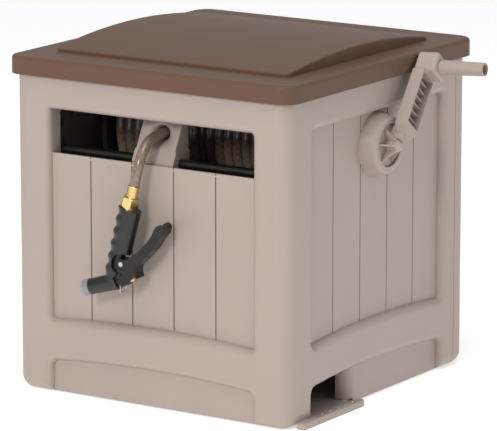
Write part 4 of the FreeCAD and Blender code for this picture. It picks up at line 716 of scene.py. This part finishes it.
# %% Set the screws
screw_recipe = Recipe("screws on places", {"Screw": "NodeSocketObject", "Screw size": "NodeSocketFloat"})
looks = screw_recipe.node("GeometryNodeInputNamedAttribute", {"data_type": "FLOAT_VECTOR"}, {"Name": "looks"},
                          "Attribute")
turned = screw_recipe.node("FunctionNodeAlignRotationToVector", {"axis": "Z"}, {"Vector": looks}, "Rotation")
pattern = screw_recipe.node("GeometryNodeObjectInfo", {}, {"Object": screw_recipe.given("Screw")}, "Geometry")
placed = {"Points": screw_recipe.given("Geometry"), "Instance": pattern, "Rotation": turned,
          "Scale": screw_recipe.given("Screw size")}
screw_recipe.close(screw_recipe.node("GeometryNodeInstanceOnPoints", {}, placed, "Instances"), plated)

for node, body in screw_nodes.items():
    spots = bpy.data.meshes.new(node + " places")
    spots.from_pydata([seat for seat, way in screw_places[node]], [], [])
    ways = spots.attributes.new("looks", "FLOAT_VECTOR", "POINT")
    ways.data.foreach_set("vector", [c for seat, way in screw_places[node] for c in way])
    one = shown("one screw", screw_mesh)
    values = {"Screw": one, "Screw size": 1.0}
    piece = screw_recipe.applied(shown(node + " spots", spots), node + "_turned", values)
    bpy.data.objects.remove(one)
    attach(piece, body)
    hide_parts(node)
    print(piece.name, len(piece.data.polygons), "faces")

# %% [markdown]
# The supply hose screws on a brass connector: a spanner's hexagon, a coarse hose thread and a cup for the
# washer. It is one closed ring of sections, out along the thread and back through the bore.

# %% Water connector with its thread
def water_connector():
    """Threaded connector in the place of the plain solid."""
    low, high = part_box("inlet_nipple")
    reach = high[0] - low[0]
    flat, hexagon_thick, chamfer = 15.0 * MM, 6.0 * MM, 0.8 * MM
    crest, root, pitch, lead_in = 13.2 * MM, 12.0 * MM, 2.2 * MM, 0.6 * MM
    cup_radius, cup_depth, bore = 10.2 * MM, 10.0 * MM, 6.0 * MM
    turned_thread = thread(root, crest, pitch)
    levels = [(0, hexagon(flat)), (hexagon_thick - chamfer, hexagon(flat)), (hexagon_thick, even(flat))]
    levels += [(hexagon_thick, even(root))]
    levels += [(z, turned_thread) for z in steps_between(hexagon_thick + pitch, reach - pitch, pitch / 5)]
    levels += [(reach - chamfer, even(root)), (reach, even(root - lead_in)), (reach, even(cup_radius)),
               (reach - cup_depth, even(cup_radius)), (reach - cup_depth, even(bore)), (0, even(bore))]
    piece = shown("inlet_nipple_threaded", skin("water connector", levels, sides=72, ring_closed=True))
    centre = Vector((high[0], (low[1] + high[1]) / 2, (low[2] + high[2]) / 2))
    piece.data.transform(Matrix.Translation(centre) @ Matrix.Rotation(-math.pi / 2, 4, "Y"))
    return piece


connector = water_connector()
dress(connector, brass)
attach(connector, "box")
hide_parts("inlet_nipple")
print("water connector:", len(connector.data.polygons), "faces")

# %% [markdown]
# The camera stands where the photograph was taken from: far off, a little more than a third of a right angle
# round to the right and a little above, with a long lens, so the box's uprights stay nearly parallel. Its
# place, its two angles and its lens were fitted to the edges of the box in the photograph.

# %% Camera
sensor_width = 36.0
image_width = 497
focal_pixels = 3984.05


def look_from(place, back, lens):
    """Camera at a place, looking against a direction, level."""
    camera = shown("camera", bpy.data.cameras.new("camera"))
    camera.data.lens = lens
    camera.data.sensor_width = sensor_width
    camera.data.clip_end = 100
    right = Vector((0, 0, 1)).cross(back).normalized()
    up = back.cross(right)
    turn = Matrix((right, up, back)).transposed().to_4x4()
    camera.matrix_world = Matrix.Translation(place) @ turn
    bpy.context.scene.camera = camera
    return camera


yaw, pitch = 0.5805996, 0.2121195
back = Vector((math.sin(yaw) * math.cos(pitch), -math.cos(yaw) * math.cos(pitch), math.sin(pitch)))
camera_place = Vector((3947.03, -6000.30, 1847.47)) * MM
camera = look_from(camera_place, back.normalized(), focal_pixels * sensor_width / image_width)
print("camera back", [round(v, 4) for v in back], "lens", round(camera.data.lens, 1), "mm")

# %% [markdown]
# The photograph has a white ground and soft light from all round. The key is a panel in front and a little to
# the right. A weaker one from the right rear keeps the right side clear, and a wide one above lights the lid.
# The hollows behind the window and in the foot opening get little light and stay dark. The floor gives off
# some light itself, so that it comes out as white as the photograph's ground.

# %% Floor and light
def studio_floor(width=60, below=0.5 * MM):
    """White ground just under the part."""
    bpy.ops.mesh.primitive_plane_add(size=width, location=(0, 0, -below))
    floor = bpy.context.object
    floor.name = "studio_floor"
    finish = Finish("studio ground")
    paper = finish.colour_mix(finish.noise(scale=1.5), shade(250, 250, 250), shade(254, 254, 254))
    finish.set(Base_Color=paper, Roughness=0.9)
    finish.shader.inputs["Emission Color"].default_value = (1.0, 1.0, 1.0, 1.0)
    finish.shader.inputs["Emission Strength"].default_value = 0.4
    dress(floor, finish.material)


def softbox(name, place, size, power, aim=(0, 0, 0.3)):
    """Lamp panel that faces the part, with its size in metres and its power in watts."""
    light = bpy.data.lights.new(name, "AREA")
    light.shape = "RECTANGLE"
    light.size, light.size_y = size
    light.energy = power
    lamp = shown(name, light)
    lamp.location = place
    lamp.rotation_euler = (Vector(place) - Vector(aim)).to_track_quat("Z", "Y").to_euler()


studio_floor()
softbox("key", place=(0.5, -4.6, 2.4), size=(1.0, 1.0), power=92)
softbox("side", place=(4.0, 2.6, 1.9), size=(1.0, 1.0), power=20)
softbox("top", place=(0.5, -0.9, 3.3), size=(2.2, 2.2), power=42)
world = bpy.data.worlds.new("studio")
world.use_nodes = True
sky = world.node_tree.nodes["Background"]
sky.inputs["Color"].default_value = (1.0, 1.0, 1.0, 1.0)
sky.inputs["Strength"].default_value = 0.5
bpy.context.scene.world = world
bpy.context.scene.view_settings.view_transform = "Standard"
print("studio ready")
